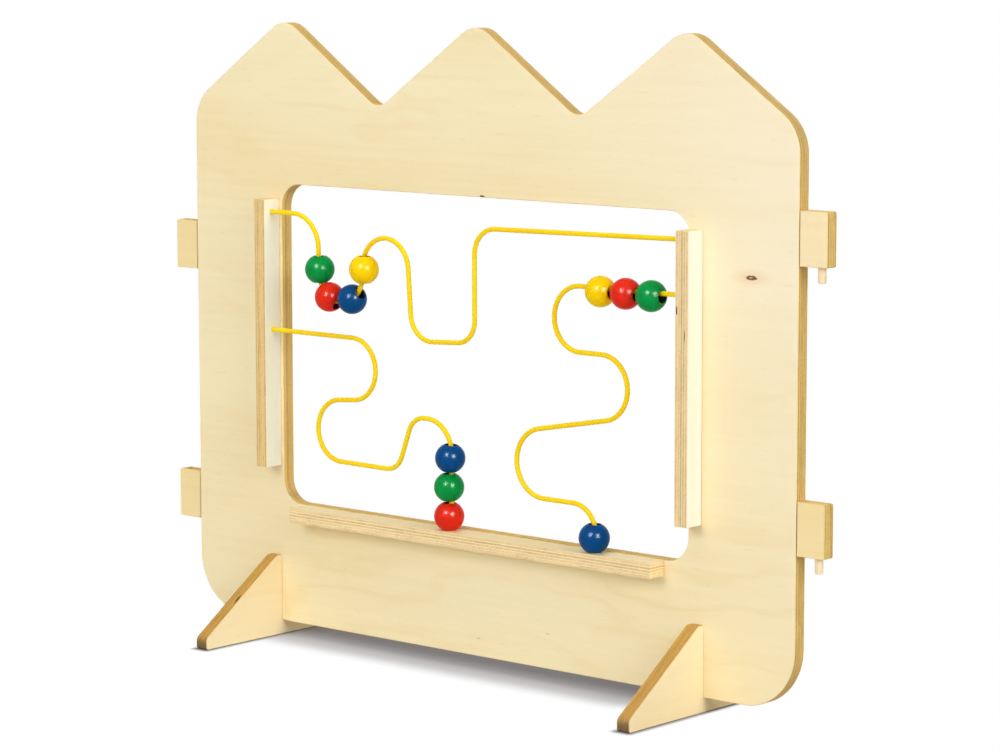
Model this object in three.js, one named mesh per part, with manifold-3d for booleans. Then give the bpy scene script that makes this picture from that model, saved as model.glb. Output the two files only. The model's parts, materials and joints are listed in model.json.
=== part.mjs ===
// A free-standing maze toy: a gabled plywood panel on two cross feet, with three bent bead
// wires strung across its window and link blocks on its side edges.
// Millimetres, +Z up, front facing -Y, origin on the floor below the middle of the panel.
import * as THREE from 'three';
import { mergeVertices } from 'three/addons/utils/BufferGeometryUtils.js';
import Module from 'manifold-3d';

const wasm = await Module();
wasm.setup();

// Sheet and fits
const PLY = 15; // plywood of the panel, the feet and the link blocks
const SEAT = 0.3; // air left between pieces that touch

// Panel outline
const PANEL_WIDTH = 800;
const FLOOR_GAP = 15; // floor to the bottom edge of the panel
const EAVE_HEIGHT = 566; // floor to the level of the valleys, before they are rounded
const GABLE_COUNT = 3;
const GABLE_RISE = 92; // eaves to the apex, before it is rounded
const APEX_RADIUS = 30;
const VALLEY_RADIUS = 20;
const SHOULDER_RADIUS = 45;
const BOTTOM_CORNER_RADIUS = 60;

// Window in the panel
const WINDOW_WIDTH = 544;
const WINDOW_HEIGHT = 339;
const WINDOW_SILL = 144; // floor to the bottom edge of the window
const WINDOW_RADIUS = 25;

// Rails: strips of plywood on edge, on the front of the panel around the window
const RAIL_WIDTH = 16;
const RAIL_DEPTH = 22;
const SIDE_RAIL_LENGTH = 284;
const SIDE_RAIL_DROP = 16; // window's top edge down to the top of the side rails
const BOTTOM_RAIL_LENGTH = 486;
const LEFT_RAIL_SETBACK = 3.5; // window's edge to the left rail
const RIGHT_RAIL_SETBACK = 0;
const BOTTOM_RAIL_SETBACK = 0.5;
const SIDE_RAIL_SCREWS = 2;
const BOTTOM_RAIL_SCREWS = 4;
const RAIL_SCREW_INSET = 30; // end of a rail to its outer screw

// Countersunk screws, driven through the panel from behind
const SCREW_LENGTH = 30;
const SCREW_SHANK = 4;
const SCREW_HEAD = 8;
const SCREW_HEAD_HEIGHT = 2.6;
const SCREW_POINT = 5;

// Feet, halved over the panel
const FOOT_SPACING = 568;
const FOOT_REACH = 121; // middle of the panel to the tip of a foot
const FOOT_HEIGHT = 86;
const FOOT_TIP_HEIGHT = 12;
const FOOT_TOP_LENGTH = 30; // flat top, before its corners are rounded
const FOOT_TIP_RADIUS = 7;
const FOOT_SOLE_RADIUS = 3;
const FOOT_TOP_RADIUS = 5;
const LAP_HEIGHT = 50; // floor to the level where the halving joint meets

// Link blocks on the side edges of the panel, with pins that drop into a neighbour's sockets
const BLOCK_WIDTH = 32;
const BLOCK_HEIGHT = 52;
const BLOCK_RADIUS = 3;
const LINK_LEVELS = { upper: 438, lower: 165 }; // where a right block would meet a left one
const LINK_GAP = 2.6;
const LINK_PIN_OFFSET = 21.5; // edge of the panel to the middle of the pin
const PIN_DIAMETER = 8;
const PIN_REACH = 15; // length of the pin below its block
const PIN_SEAT = 17; // length of the pin inside its block
const PIN_CHAMFER = 1;
const SOCKET_PLAY = 0.5;
const SOCKET_FLOOR_PLAY = 3;

// Hidden dowels that hold the blocks to the panel
const DOWEL_DIAMETER = 8;
const DOWEL_LENGTH = 36;
const DOWEL_CHAMFER = 1;
const DOWEL_HEIGHTS = [12, 26]; // from the end of the block away from its pin or socket

// Wires and beads
const WIRE_DIAMETER = 5;
const WIRE_TENON = 12; // length of a wire's end inside its rail
const BEAD_DIAMETER = 31;
const BEAD_BORE = 12.5;
const BEAD_RIM = 0.5; // rounding between the bore and the ball
const UPPER_WIRE_DROP = 13; // top of the left rail down to the upper wire
const LEFT_WIRE_DROP = 137.5; // top of the left rail down to the left wire
const RIGHT_WIRE_DROP = 62.6; // top of the right rail down to the right wire
const RIGHT_WIRE_STEM = 17.1; // bottom rail up to the right wire's last bend

// Bending schedules: straight run, bend radius, turn in degrees, anticlockwise from the front.
// The bends with no radius share the one that brings the wire to the height of its last bend.
const UPPER_WIRE_BENDS = [
  { run: 31.9, radius: 36, turn: -90 },
  { run: 21, radius: 31.5, turn: 180 },
  { run: 6.8, radius: 31.8, turn: -176.2 },
  { run: 45.8, radius: 28, turn: 89.2 },
  { run: 34.8, radius: 24, turn: 87 },
  { run: 66.7, radius: 27, turn: -89 },
];
const LEFT_WIRE_BENDS = [
  { run: 115.6, turn: -175 },
  { run: 23.2, turn: 174.5 },
  { run: 65.5, radius: 22, turn: 70 },
  { run: 30.7, radius: 22, turn: -69.5 },
  { run: 4.3, radius: 33, turn: -90 },
];
const RIGHT_WIRE_BENDS = [
  { run: 126.3, turn: 180 },
  { run: 27.6, turn: -169.4 },
  { run: 87.6, radius: 35, turn: 169.4 },
  { run: 38, radius: 29, turn: -90 },
];

// Resting places of the beads
const VALLEY_GAP = 1.2; // between the two beads at the bottom of the upper wire's valley
const CLIMBING_GAP = 5.2; // between the valley's blue bead and the yellow one above it
const STACK_GAP = 2; // between the green and red beads on the left wire
const HUMP_BEAD_GAP = 2; // between the left wire's blue bead and the stack below it
const HUMP_BEAD_DROP = 4.4; // start of the left wire's last bend down to the blue bead
const TRAIN_GAP = 3.5; // between the beads on the right wire's straight run
const TRAIN_END_GAP = 23.5; // between that run's last bead and the right rail
const HUMP_BEAD_LEAN = THREE.MathUtils.degToRad(4.5); // of the left wire's blue bead
const FOOT_BEAD_LEAN = THREE.MathUtils.degToRad(1.5); // of the other beads at the foot of a bend

// Facets
const ARC_SEGMENTS = 5;
const WIRE_SIDES = 10;
const WIRE_STEP = THREE.MathUtils.degToRad(12);
const BEAD_SIDES = 20;
const BEAD_ARC_STEPS = 9;
const ROD_SIDES = 12;

// Places that several pieces share
const FRONT = -PLY / 2;
const BACK = PLY / 2;
const PANEL_EDGE = PANEL_WIDTH / 2;
const WINDOW_EDGE = WINDOW_WIDTH / 2;
const WINDOW_TOP = WINDOW_SILL + WINDOW_HEIGHT;
const FOOT_PLACE = FOOT_SPACING / 2;
const RAIL_MIDDLE = FRONT - SEAT - RAIL_DEPTH / 2; // depth at which the wires hang
const LEFT_RAIL_FACE = -WINDOW_EDGE - LEFT_RAIL_SETBACK;
const RIGHT_RAIL_FACE = WINDOW_EDGE + RIGHT_RAIL_SETBACK;
const SIDE_RAIL_TOP = WINDOW_TOP - SIDE_RAIL_DROP;
const BOTTOM_RAIL_TOP = WINDOW_SILL - BOTTOM_RAIL_SETBACK;
const BEAD_RIM_RADIUS = BEAD_BORE / 2 + BEAD_RIM;
const BEAD_HALF_LENGTH = Math.sqrt((BEAD_DIAMETER / 2) ** 2 - BEAD_RIM_RADIUS ** 2);
const BORE_PLAY = (BEAD_BORE - WIRE_DIAMETER) / 2;
const BEAD_PITCH = 2 * BEAD_HALF_LENGTH; // between beads that touch on a straight wire
const SEATED_BEAD = BOTTOM_RAIL_TOP + SEAT + BEAD_HALF_LENGTH; // height of a bead on the bottom rail
const STACKED_BEAD = SEATED_BEAD + BEAD_PITCH + STACK_GAP;
const HUMP_BEAD = STACKED_BEAD + BEAD_PITCH + HUMP_BEAD_GAP;

const plywood = new THREE.MeshStandardMaterial({ color: 0xe9d5a6, roughness: 0.6, metalness: 0 });
const dowelWood = new THREE.MeshStandardMaterial({ color: 0xe6c99a, roughness: 0.65, metalness: 0 });
const wireCoat = new THREE.MeshStandardMaterial({ color: 0xf7cb07, roughness: 0.35, metalness: 0 });
const zincSteel = new THREE.MeshStandardMaterial({ color: 0xb9bcc0, roughness: 0.35, metalness: 1 });
const BEAD_COLOURS = { green: 0x04914a, red: 0xe2301f, blue: 0x05457f, yellow: 0xf8cd08 };

const toy = new THREE.Group();

function place(name, geometry, material) {
  const mesh = new THREE.Mesh(geometry, material);
  mesh.name = name;
  toy.add(mesh);
  return mesh;
}

// Closed solid for cutting, with shared corners merged and empty triangles dropped.
function toSolid(geometry) {
  const bare = new THREE.BufferGeometry();
  bare.setAttribute('position', geometry.getAttribute('position'));
  bare.setIndex(geometry.getIndex());
  const merged = mergeVertices(bare);
  const corners = merged.getIndex().array;
  const triangles = [];
  for (let i = 0; i < corners.length; i += 3) {
    const [a, b, c] = corners.slice(i, i + 3);
    if (a !== b && b !== c && c !== a) triangles.push(a, b, c);
  }
  const vertProperties = new Float32Array(merged.getAttribute('position').array);
  const triVerts = new Uint32Array(triangles);
  return new wasm.Manifold(new wasm.Mesh({ numProp: 3, vertProperties, triVerts }));
}

function cut(geometry, cutters) {
  let solid = toSolid(geometry);
  for (const cutter of cutters) solid = solid.subtract(toSolid(cutter));
  const mesh = solid.getMesh();
  const result = new THREE.BufferGeometry();
  result.setAttribute('position', new THREE.BufferAttribute(new Float32Array(mesh.vertProperties), 3));
  result.setIndex(new THREE.BufferAttribute(new Uint32Array(mesh.triVerts), 1));
  return result;
}

// Box between two opposite corners.
function block(from, to) {
  const size = to.map((value, axis) => value - from[axis]);
  const middle = to.map((value, axis) => (value + from[axis]) / 2);
  return new THREE.BoxGeometry(...size).translate(...middle);
}

// Outline through corners [across, up, radius], each rounded by an arc of its own.
function roundedOutline(corners, outline) {
  corners.forEach(([across, up, radius], index) => {
    const corner = new THREE.Vector2(across, up);
    const before = new THREE.Vector2(...corners.at(index - 1)).sub(corner).normalize();
    const after = new THREE.Vector2(...corners[(index + 1) % corners.length]).sub(corner).normalize();
    const halfAngle = Math.acos(before.dot(after)) / 2;
    const inward = before.clone().add(after).normalize();
    const centre = corner.clone().addScaledVector(inward, radius / Math.sin(halfAngle));
    const reach = radius / Math.tan(halfAngle);
    const start = corner.clone().addScaledVector(before, reach).sub(centre);
    const end = corner.clone().addScaledVector(after, reach).sub(centre);
    const clockwise = before.cross(after) > 0;
    outline.absarc(centre.x, centre.y, radius, start.angle(), end.angle(), clockwise);
  });
  outline.closePath();
  return outline;
}

// Sheet standing in the XZ plane, with its front on FRONT and its back on BACK.
function standingSheet(shape) {
  const settings = { depth: PLY, bevelEnabled: false, curveSegments: ARC_SEGMENTS };
  return new THREE.ExtrudeGeometry(shape, settings).rotateX(Math.PI / 2).translate(0, BACK, 0);
}

// Round bar along +Z from a profile of [radius, height] points that ends on the axis.
function turned(profile, sides) {
  const points = profile.map(([radius, height]) => new THREE.Vector2(radius, height));
  return new THREE.LatheGeometry(points, sides).rotateX(Math.PI / 2);
}

// Plain round cutter from a point along a direction.
function bore(diameter, length, point, direction) {
  const turn = new THREE.Quaternion().setFromUnitVectors(new THREE.Vector3(0, 0, 1), direction);
  const radius = diameter / 2;
  const rod = turned([[0, 0], [radius, 0], [radius, length], [0, length]], ROD_SIDES);
  return rod.applyQuaternion(turn).translate(point.x, point.y, point.z);
}

function peg(diameter, length, chamfer) {
  const radius = diameter / 2;
  const neck = radius - chamfer;
  const foot = [[0, 0], [neck, 0], [radius, chamfer]];
  const head = [[radius, length - chamfer], [neck, length], [0, length]];
  return turned([...foot, ...head], ROD_SIDES);
}

// Screw along +Z, point at the bottom and head flush at the top, or its hole if grown.
function screw(growth) {
  const shank = SCREW_SHANK / 2 + growth;
  const head = SCREW_HEAD / 2 + growth;
  const top = SCREW_LENGTH;
  const neck = top - SCREW_HEAD_HEIGHT;
  const stem = [[0, -growth], [shank, SCREW_POINT - growth], [shank, neck - growth]];
  return turned([...stem, [head, top - growth], [head, top + growth], [0, top + growth]], ROD_SIDES);
}

// Height that a schedule gains, with one radius for the bends that state none.
function gain(heading, bends, openRadius) {
  let height = 0;
  let before = heading;
  for (const { run, radius = openRadius, turn } of bends) {
    const after = before + THREE.MathUtils.degToRad(turn);
    height += run * Math.sin(before);
    height += Math.sign(turn) * radius * (Math.cos(before) - Math.cos(after));
    before = after;
  }
  return height;
}

// Schedule whose open bends have the radius that ends the last bend at a given height.
function closeSchedule(startHeight, heading, bends, endHeight) {
  const sharp = gain(heading, bends, 0);
  const openRadius = (endHeight - startHeight - sharp) / (gain(heading, bends, 1) - sharp);
  return bends.map(({ run, radius = openRadius, turn }) => ({ run, radius, turn }));
}

// A wire bent in the XZ plane: its stations, its bends' centres and its two ends.
function bendWire(start, heading, bends, lastRun) {
  const pen = { x: start.x, z: start.z, heading };
  const stations = [];
  const centres = [];
  const ahead = () => new THREE.Vector3(Math.cos(pen.heading), 0, Math.sin(pen.heading));
  const mark = () => stations.push({ point: new THREE.Vector3(pen.x, RAIL_MIDDLE, pen.z), ahead: ahead() });
  const walk = (length) => {
    pen.x += length * Math.cos(pen.heading);
    pen.z += length * Math.sin(pen.heading);
    mark();
  };
  const bend = (radius, turn) => {
    const side = Math.sign(turn);
    const centre = {
      x: pen.x - side * radius * Math.sin(pen.heading),
      z: pen.z + side * radius * Math.cos(pen.heading),
      radius,
    };
    const steps = Math.ceil(Math.abs(turn) / WIRE_STEP);
    for (let step = 0; step < steps; step += 1) {
      pen.heading += turn / steps;
      pen.x = centre.x + side * radius * Math.sin(pen.heading);
      pen.z = centre.z - side * radius * Math.cos(pen.heading);
      mark();
    }
    centres.push(centre);
  };
  pen.x -= WIRE_TENON * Math.cos(heading);
  pen.z -= WIRE_TENON * Math.sin(heading);
  mark();
  bends.forEach(({ run, radius, turn }, index) => {
    walk(index === 0 ? run + WIRE_TENON : run);
    bend(radius, THREE.MathUtils.degToRad(turn));
  });
  walk(lastRun(pen) + WIRE_TENON);
  const first = stations[0];
  const last = stations.at(-1);
  const ends = [{ point: first.point, inward: first.ahead.clone().negate() },
    { point: last.point, inward: last.ahead }];
  return { stations, centres, ends };
}

// Path that steps from station to station, so that a straight run takes a single step.
class StationPath extends THREE.Curve {
  constructor(stations) {
    super();
    this.stations = stations;
  }

  station(share) {
    return this.stations[Math.round(share * (this.stations.length - 1))];
  }

  getPointAt(share) {
    return this.station(share).point.clone();
  }

  getTangentAt(share) {
    return this.station(share).ahead.clone();
  }
}

function wireRod(wire) {
  const section = new THREE.Shape();
  for (let side = 0; side < WIRE_SIDES; side += 1) {
    const angle = (side / WIRE_SIDES) * 2 * Math.PI;
    const corner = [Math.cos(angle) * WIRE_DIAMETER / 2, Math.sin(angle) * WIRE_DIAMETER / 2];
    if (side === 0) section.moveTo(...corner);
    else section.lineTo(...corner);
  }
  section.closePath();
  const steps = wire.stations.length - 1;
  const extrudePath = new StationPath(wire.stations);
  return new THREE.ExtrudeGeometry(section, { steps, extrudePath, bevelEnabled: false });
}

function wireSocket({ point, inward }) {
  const tip = point.clone().addScaledVector(inward, SEAT);
  const length = WIRE_TENON + SEAT + WIRE_DIAMETER;
  return bore(WIRE_DIAMETER + 2 * SEAT, length, tip, inward.clone().negate());
}

const runToRightRail = (pen) => (RIGHT_RAIL_FACE - pen.x) / Math.cos(pen.heading);
const runToBottomRail = (pen) => pen.z - BOTTOM_RAIL_TOP;
const upperStart = { x: LEFT_RAIL_FACE, z: SIDE_RAIL_TOP - UPPER_WIRE_DROP };
const leftStart = { x: LEFT_RAIL_FACE, z: SIDE_RAIL_TOP - LEFT_WIRE_DROP };
const rightStart = { x: RIGHT_RAIL_FACE, z: SIDE_RAIL_TOP - RIGHT_WIRE_DROP };
const leftEnd = HUMP_BEAD + HUMP_BEAD_DROP;
const rightEnd = BOTTOM_RAIL_TOP + RIGHT_WIRE_STEM;
const leftBends = closeSchedule(leftStart.z, 0, LEFT_WIRE_BENDS, leftEnd);
const rightBends = closeSchedule(rightStart.z, Math.PI, RIGHT_WIRE_BENDS, rightEnd);
const upperWire = bendWire(upperStart, 0, UPPER_WIRE_BENDS, runToRightRail);
const leftWire = bendWire(leftStart, 0, leftBends, runToBottomRail);
const rightWire = bendWire(rightStart, Math.PI, rightBends, runToBottomRail);

// Rails, each with the sockets of its wires and the pilot holes of its screws
function spread(count, from, to) {
  return Array.from({ length: count }, (_, index) => from + ((to - from) * index) / (count - 1));
}

function screwAt(x, z, growth) {
  return screw(growth).rotateX(-Math.PI / 2).translate(x, BACK - SCREW_LENGTH, z);
}

const railFront = FRONT - SEAT - RAIL_DEPTH;
const railBack = FRONT - SEAT;
const sideRailBottom = SIDE_RAIL_TOP - SIDE_RAIL_LENGTH;
const lowestSideScrew = sideRailBottom + RAIL_SCREW_INSET;
const sideScrewHeights = spread(SIDE_RAIL_SCREWS, lowestSideScrew, SIDE_RAIL_TOP - RAIL_SCREW_INSET);
const bottomScrewReach = BOTTOM_RAIL_LENGTH / 2 - RAIL_SCREW_INSET;
const rails = {
  left_rail: {
    body: block([LEFT_RAIL_FACE - RAIL_WIDTH, railFront, sideRailBottom],
      [LEFT_RAIL_FACE, railBack, SIDE_RAIL_TOP]),
    wireEnds: [upperWire.ends[0], leftWire.ends[0]],
    screws: sideScrewHeights.map((z) => [LEFT_RAIL_FACE - RAIL_WIDTH / 2, z]),
  },
  right_rail: {
    body: block([RIGHT_RAIL_FACE, railFront, sideRailBottom],
      [RIGHT_RAIL_FACE + RAIL_WIDTH, railBack, SIDE_RAIL_TOP]),
    wireEnds: [upperWire.ends[1], rightWire.ends[0]],
    screws: sideScrewHeights.map((z) => [RIGHT_RAIL_FACE + RAIL_WIDTH / 2, z]),
  },
  bottom_rail: {
    body: block([-BOTTOM_RAIL_LENGTH / 2, railFront, BOTTOM_RAIL_TOP - RAIL_WIDTH],
      [BOTTOM_RAIL_LENGTH / 2, railBack, BOTTOM_RAIL_TOP]),
    wireEnds: [leftWire.ends[1], rightWire.ends[1]],
    screws: spread(BOTTOM_RAIL_SCREWS, -bottomScrewReach, bottomScrewReach)
      .map((x) => [x, BOTTOM_RAIL_TOP - RAIL_WIDTH / 2]),
  },
};
const screwHoles = [];
for (const [name, { body, wireEnds, screws }] of Object.entries(rails)) {
  const holes = screws.map(([x, z]) => screwAt(x, z, SEAT));
  screwHoles.push(...holes);
  place(name, cut(body, [...wireEnds.map(wireSocket), ...holes]), plywood);
  screws.forEach(([x, z], index) => place(`${name}_screw_${index + 1}`, screwAt(x, z, 0), zincSteel));
}

// Link blocks with their pins, sockets and dowels
const dowelHoles = [];
for (const [level, height] of Object.entries(LINK_LEVELS)) {
  for (const [side, sign] of [['left', -1], ['right', 1]]) {
    const pinned = side === 'right';
    const bottom = pinned ? height + LINK_GAP / 2 : height - LINK_GAP / 2 - BLOCK_HEIGHT;
    const top = bottom + BLOCK_HEIGHT;
    const inner = sign * (PANEL_EDGE + SEAT);
    const outer = sign * (PANEL_EDGE + BLOCK_WIDTH);
    const outline = roundedOutline([[inner, bottom, SEAT], [outer, bottom, BLOCK_RADIUS],
      [outer, top, BLOCK_RADIUS], [inner, top, SEAT]], new THREE.Shape());
    const pinLine = new THREE.Vector3(sign * (PANEL_EDGE + LINK_PIN_OFFSET), 0, 0);
    const up = new THREE.Vector3(0, 0, 1);
    const down = new THREE.Vector3(0, 0, -1);
    const socketDepth = PIN_REACH - LINK_GAP + SOCKET_FLOOR_PLAY;
    const linkHole = pinned
      ? bore(PIN_DIAMETER + 2 * SEAT, PIN_SEAT + 2 * SEAT, pinLine.clone().setZ(bottom - SEAT), up)
      : bore(PIN_DIAMETER + 2 * SOCKET_PLAY, socketDepth + SEAT, pinLine.clone().setZ(top + SEAT), down);
    const outward = new THREE.Vector3(sign, 0, 0);
    const dowels = DOWEL_HEIGHTS.map((reach) => new THREE.Vector3(
      sign * (PANEL_EDGE - DOWEL_LENGTH / 2), 0, pinned ? top - reach : bottom + reach));
    const holes = dowels.map((point) => bore(DOWEL_DIAMETER + 2 * SEAT, DOWEL_LENGTH + 2 * SEAT,
      point.clone().addScaledVector(outward, -SEAT), outward));
    dowelHoles.push(...holes);
    place(`${side}_${level}_link_block`, cut(standingSheet(outline), [linkHole, ...holes]), plywood);
    dowels.forEach((point, index) => {
      const dowel = place(`${side}_${level}_block_dowel_${index + 1}`,
        peg(DOWEL_DIAMETER, DOWEL_LENGTH, DOWEL_CHAMFER), dowelWood);
      dowel.position.copy(point);
      dowel.quaternion.setFromUnitVectors(up, outward);
    });
    if (pinned) {
      const pinBody = peg(PIN_DIAMETER, PIN_REACH + PIN_SEAT, PIN_CHAMFER);
      const pin = place(`${side}_${level}_link_pin`, pinBody, dowelWood);
      pin.position.copy(pinLine).setZ(bottom - PIN_REACH);
    }
  }
}

// Feet, notched from the top to take the panel
const footOutline = roundedOutline([
  [-FOOT_REACH, 0, FOOT_SOLE_RADIUS],
  [FOOT_REACH, 0, FOOT_SOLE_RADIUS],
  [FOOT_REACH, FOOT_TIP_HEIGHT, FOOT_TIP_RADIUS],
  [FOOT_TOP_LENGTH / 2, FOOT_HEIGHT, FOOT_TOP_RADIUS],
  [-FOOT_TOP_LENGTH / 2, FOOT_HEIGHT, FOOT_TOP_RADIUS],
  [-FOOT_REACH, FOOT_TIP_HEIGHT, FOOT_TIP_RADIUS],
], new THREE.Shape());
const footNotch = block([-PLY, FRONT - SEAT, LAP_HEIGHT], [PLY, BACK + SEAT, FOOT_HEIGHT + PLY]);
for (const [side, sign] of [['left', -1], ['right', 1]]) {
  const footSheet = standingSheet(footOutline).rotateZ(Math.PI / 2);
  const foot = place(`${side}_foot`, cut(footSheet, [footNotch]), plywood);
  foot.position.x = sign * FOOT_PLACE;
}

// Panel, with the window, the notches for the feet and the holes for dowels and screws
const gableWidth = PANEL_WIDTH / GABLE_COUNT;
const roofLine = [[PANEL_EDGE, EAVE_HEIGHT, SHOULDER_RADIUS]];
for (let gable = GABLE_COUNT; gable > 0; gable -= 1) {
  const right = -PANEL_EDGE + gable * gableWidth;
  roofLine.push([right - gableWidth / 2, EAVE_HEIGHT + GABLE_RISE, APEX_RADIUS]);
  const valleyRadius = gable === 1 ? SHOULDER_RADIUS : VALLEY_RADIUS;
  roofLine.push([right - gableWidth, EAVE_HEIGHT, valleyRadius]);
}
const panelOutline = roundedOutline([
  [-PANEL_EDGE, FLOOR_GAP, BOTTOM_CORNER_RADIUS],
  [PANEL_EDGE, FLOOR_GAP, BOTTOM_CORNER_RADIUS],
  ...roofLine,
], new THREE.Shape());
panelOutline.holes.push(roundedOutline([
  [-WINDOW_EDGE, WINDOW_SILL, WINDOW_RADIUS],
  [-WINDOW_EDGE, WINDOW_TOP, WINDOW_RADIUS],
  [WINDOW_EDGE, WINDOW_TOP, WINDOW_RADIUS],
  [WINDOW_EDGE, WINDOW_SILL, WINDOW_RADIUS],
], new THREE.Path()));
const notchHalf = PLY / 2 + SEAT;
const footSlots = [-FOOT_PLACE, FOOT_PLACE].map((x) => block([x - notchHalf, -PLY, 0],
  [x + notchHalf, PLY, LAP_HEIGHT + SEAT]));
place('main_panel', cut(standingSheet(panelOutline), [...footSlots, ...dowelHoles, ...screwHoles]), plywood);

// Wires
place('upper_wire', wireRod(upperWire), wireCoat);
place('left_wire', wireRod(leftWire), wireCoat);
place('right_wire', wireRod(rightWire), wireCoat);

// A bead: a ball with flats, bored along local Z, its rim eased
function beadBody() {
  const ball = [];
  const rimAngle = Math.asin(BEAD_RIM_RADIUS / (BEAD_DIAMETER / 2));
  for (let step = 0; step <= BEAD_ARC_STEPS; step += 1) {
    const angle = rimAngle + ((Math.PI - 2 * rimAngle) * step) / BEAD_ARC_STEPS;
    ball.push([Math.sin(angle) * BEAD_DIAMETER / 2, -Math.cos(angle) * BEAD_DIAMETER / 2]);
  }
  const inner = BEAD_HALF_LENGTH - BEAD_RIM;
  const hole = [[BEAD_BORE / 2, inner], [BEAD_BORE / 2, -inner]];
  return turned([...ball, ...hole, ball[0]], BEAD_SIDES);
}

// Threads a bead on a wire, with its bore leaning from +Z towards +X.
function thread(wireName, colour, x, z, lean) {
  const color = BEAD_COLOURS[colour];
  const lacquer = new THREE.MeshStandardMaterial({ color, roughness: 0.15, metalness: 0 });
  const bead = place(`${wireName}_${colour}_bead`, beadBody(), lacquer);
  bead.position.set(x, RAIL_MIDDLE, z);
  bead.rotation.y = lean;
}

// How far a bend bulges past the middle of a bead's bore.
const bulge = (radius) => radius - Math.sqrt(radius ** 2 - BEAD_HALF_LENGTH ** 2);
// Distance from a bend's centre at which a bead rides with even play.
const ride = (radius) => radius - bulge(radius) / 2;

// Beads on the upper wire: two hang in the valley, one rests on them and one clings higher
const [, valley, hump] = upperWire.centres;
const hang = valley.radius - bulge(valley.radius) + BORE_PLAY - SEAT;
const halfChord = (BEAD_DIAMETER + VALLEY_GAP) / 2;
const valleyLean = Math.acos(halfChord / hang);
const valleyDrop = Math.sqrt(hang ** 2 - halfChord ** 2);
const valleyHeight = valley.z - valleyDrop;
thread('upper_wire', 'red', valley.x - halfChord, valleyHeight, Math.PI - valleyLean);
thread('upper_wire', 'blue', valley.x + halfChord, valleyHeight, valleyLean);
const legBead = valley.x - ride(valley.radius);
const legRise = Math.sqrt((BEAD_DIAMETER + SEAT) ** 2 - (valley.x - halfChord - legBead) ** 2);
thread('upper_wire', 'green', legBead, valleyHeight + legRise, 0);

// Angle on a circle at which a bead's centre lies a given distance from another point.
function angleAt(circle, radius, other, distance) {
  const dx = other.x - circle.x;
  const dz = other.z - circle.z;
  const span = Math.hypot(dx, dz);
  const spread = Math.acos((span ** 2 + radius ** 2 - distance ** 2) / (2 * span * radius));
  return Math.atan2(dz, dx) - spread;
}
const humpRide = ride(hump.radius);
const valleyBlue = { x: valley.x + halfChord, z: valleyHeight };
const climb = angleAt(hump, humpRide, valleyBlue, BEAD_DIAMETER + CLIMBING_GAP);
const climbX = hump.x + humpRide * Math.cos(climb);
const climbZ = hump.z + humpRide * Math.sin(climb);
thread('upper_wire', 'yellow', climbX, climbZ, FOOT_BEAD_LEAN);

// Beads on the left wire: a stack on the bottom rail, its top bead caught at the foot of the bend
const leftHump = leftWire.centres.at(-1);
const stackShift = leftHump.x + leftHump.radius - BORE_PLAY + SEAT;
thread('left_wire', 'red', stackShift, SEATED_BEAD, 0);
thread('left_wire', 'green', stackShift, STACKED_BEAD, 0);
const leftReach = Math.sqrt(ride(leftHump.radius) ** 2 - (HUMP_BEAD - leftHump.z) ** 2);
thread('left_wire', 'blue', leftHump.x + leftReach, HUMP_BEAD, HUMP_BEAD_LEAN);

// Beads on the right wire: a train hanging on the straight run, and one on the bottom rail
const trainStart = RIGHT_RAIL_FACE - TRAIN_END_GAP - BEAD_HALF_LENGTH;
const trainHeight = rightStart.z - BORE_PLAY + SEAT;
['green', 'red', 'yellow'].forEach((colour, index) => {
  thread('right_wire', colour, trainStart - index * (BEAD_PITCH + TRAIN_GAP), trainHeight, Math.PI / 2);
});
const lastBend = rightWire.centres.at(-1);
const lastReach = Math.sqrt(ride(lastBend.radius) ** 2 - (SEATED_BEAD - lastBend.z) ** 2);
thread('right_wire', 'blue', lastBend.x + lastReach, SEATED_BEAD, FOOT_BEAD_LEAN);

export default toy;
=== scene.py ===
"""Dresses the bead maze panel: birch plywood with its plies showing, bent coated wires,
lacquered beads and wooden link pins, on a plain pale floor."""
import json
import logging
import math
from dataclasses import dataclass, field
from enum import Enum
from typing import Iterable, Sequence, Union

import bmesh
import bpy
from mathutils import Matrix, Vector

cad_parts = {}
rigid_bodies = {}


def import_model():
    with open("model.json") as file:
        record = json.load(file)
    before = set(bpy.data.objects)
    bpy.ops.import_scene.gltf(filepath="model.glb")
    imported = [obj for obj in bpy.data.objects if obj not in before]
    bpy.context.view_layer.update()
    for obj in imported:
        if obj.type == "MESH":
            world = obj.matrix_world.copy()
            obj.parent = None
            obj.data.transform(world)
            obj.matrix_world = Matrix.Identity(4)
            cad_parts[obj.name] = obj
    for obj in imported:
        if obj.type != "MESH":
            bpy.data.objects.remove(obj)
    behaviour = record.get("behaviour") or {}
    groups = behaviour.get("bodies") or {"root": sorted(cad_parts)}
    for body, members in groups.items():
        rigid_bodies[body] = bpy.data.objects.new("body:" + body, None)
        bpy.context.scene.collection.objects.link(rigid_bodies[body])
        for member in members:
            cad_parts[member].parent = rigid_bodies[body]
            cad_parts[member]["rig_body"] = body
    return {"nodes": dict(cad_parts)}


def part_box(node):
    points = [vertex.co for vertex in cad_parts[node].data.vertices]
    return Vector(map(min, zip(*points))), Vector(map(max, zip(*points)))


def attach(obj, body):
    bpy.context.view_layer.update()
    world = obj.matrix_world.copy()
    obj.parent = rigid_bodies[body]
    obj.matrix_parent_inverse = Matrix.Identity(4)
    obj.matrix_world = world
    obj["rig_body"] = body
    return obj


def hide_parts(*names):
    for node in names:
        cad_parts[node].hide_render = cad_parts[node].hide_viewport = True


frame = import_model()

log = logging.getLogger("bead_maze")

MM = 0.001
FULL_TURN = 2 * math.pi
QUARTER_TURN = math.pi / 2
CRISP_ANGLE = math.radians(38)
ON_AXIS = 1e-9

Colour = tuple[float, float, float, float]
Point = tuple[float, float]
Loop = list[Point]
Corner = tuple[float, float, float]

WHITE: Colour = (1.0, 1.0, 1.0, 1.0)


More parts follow.
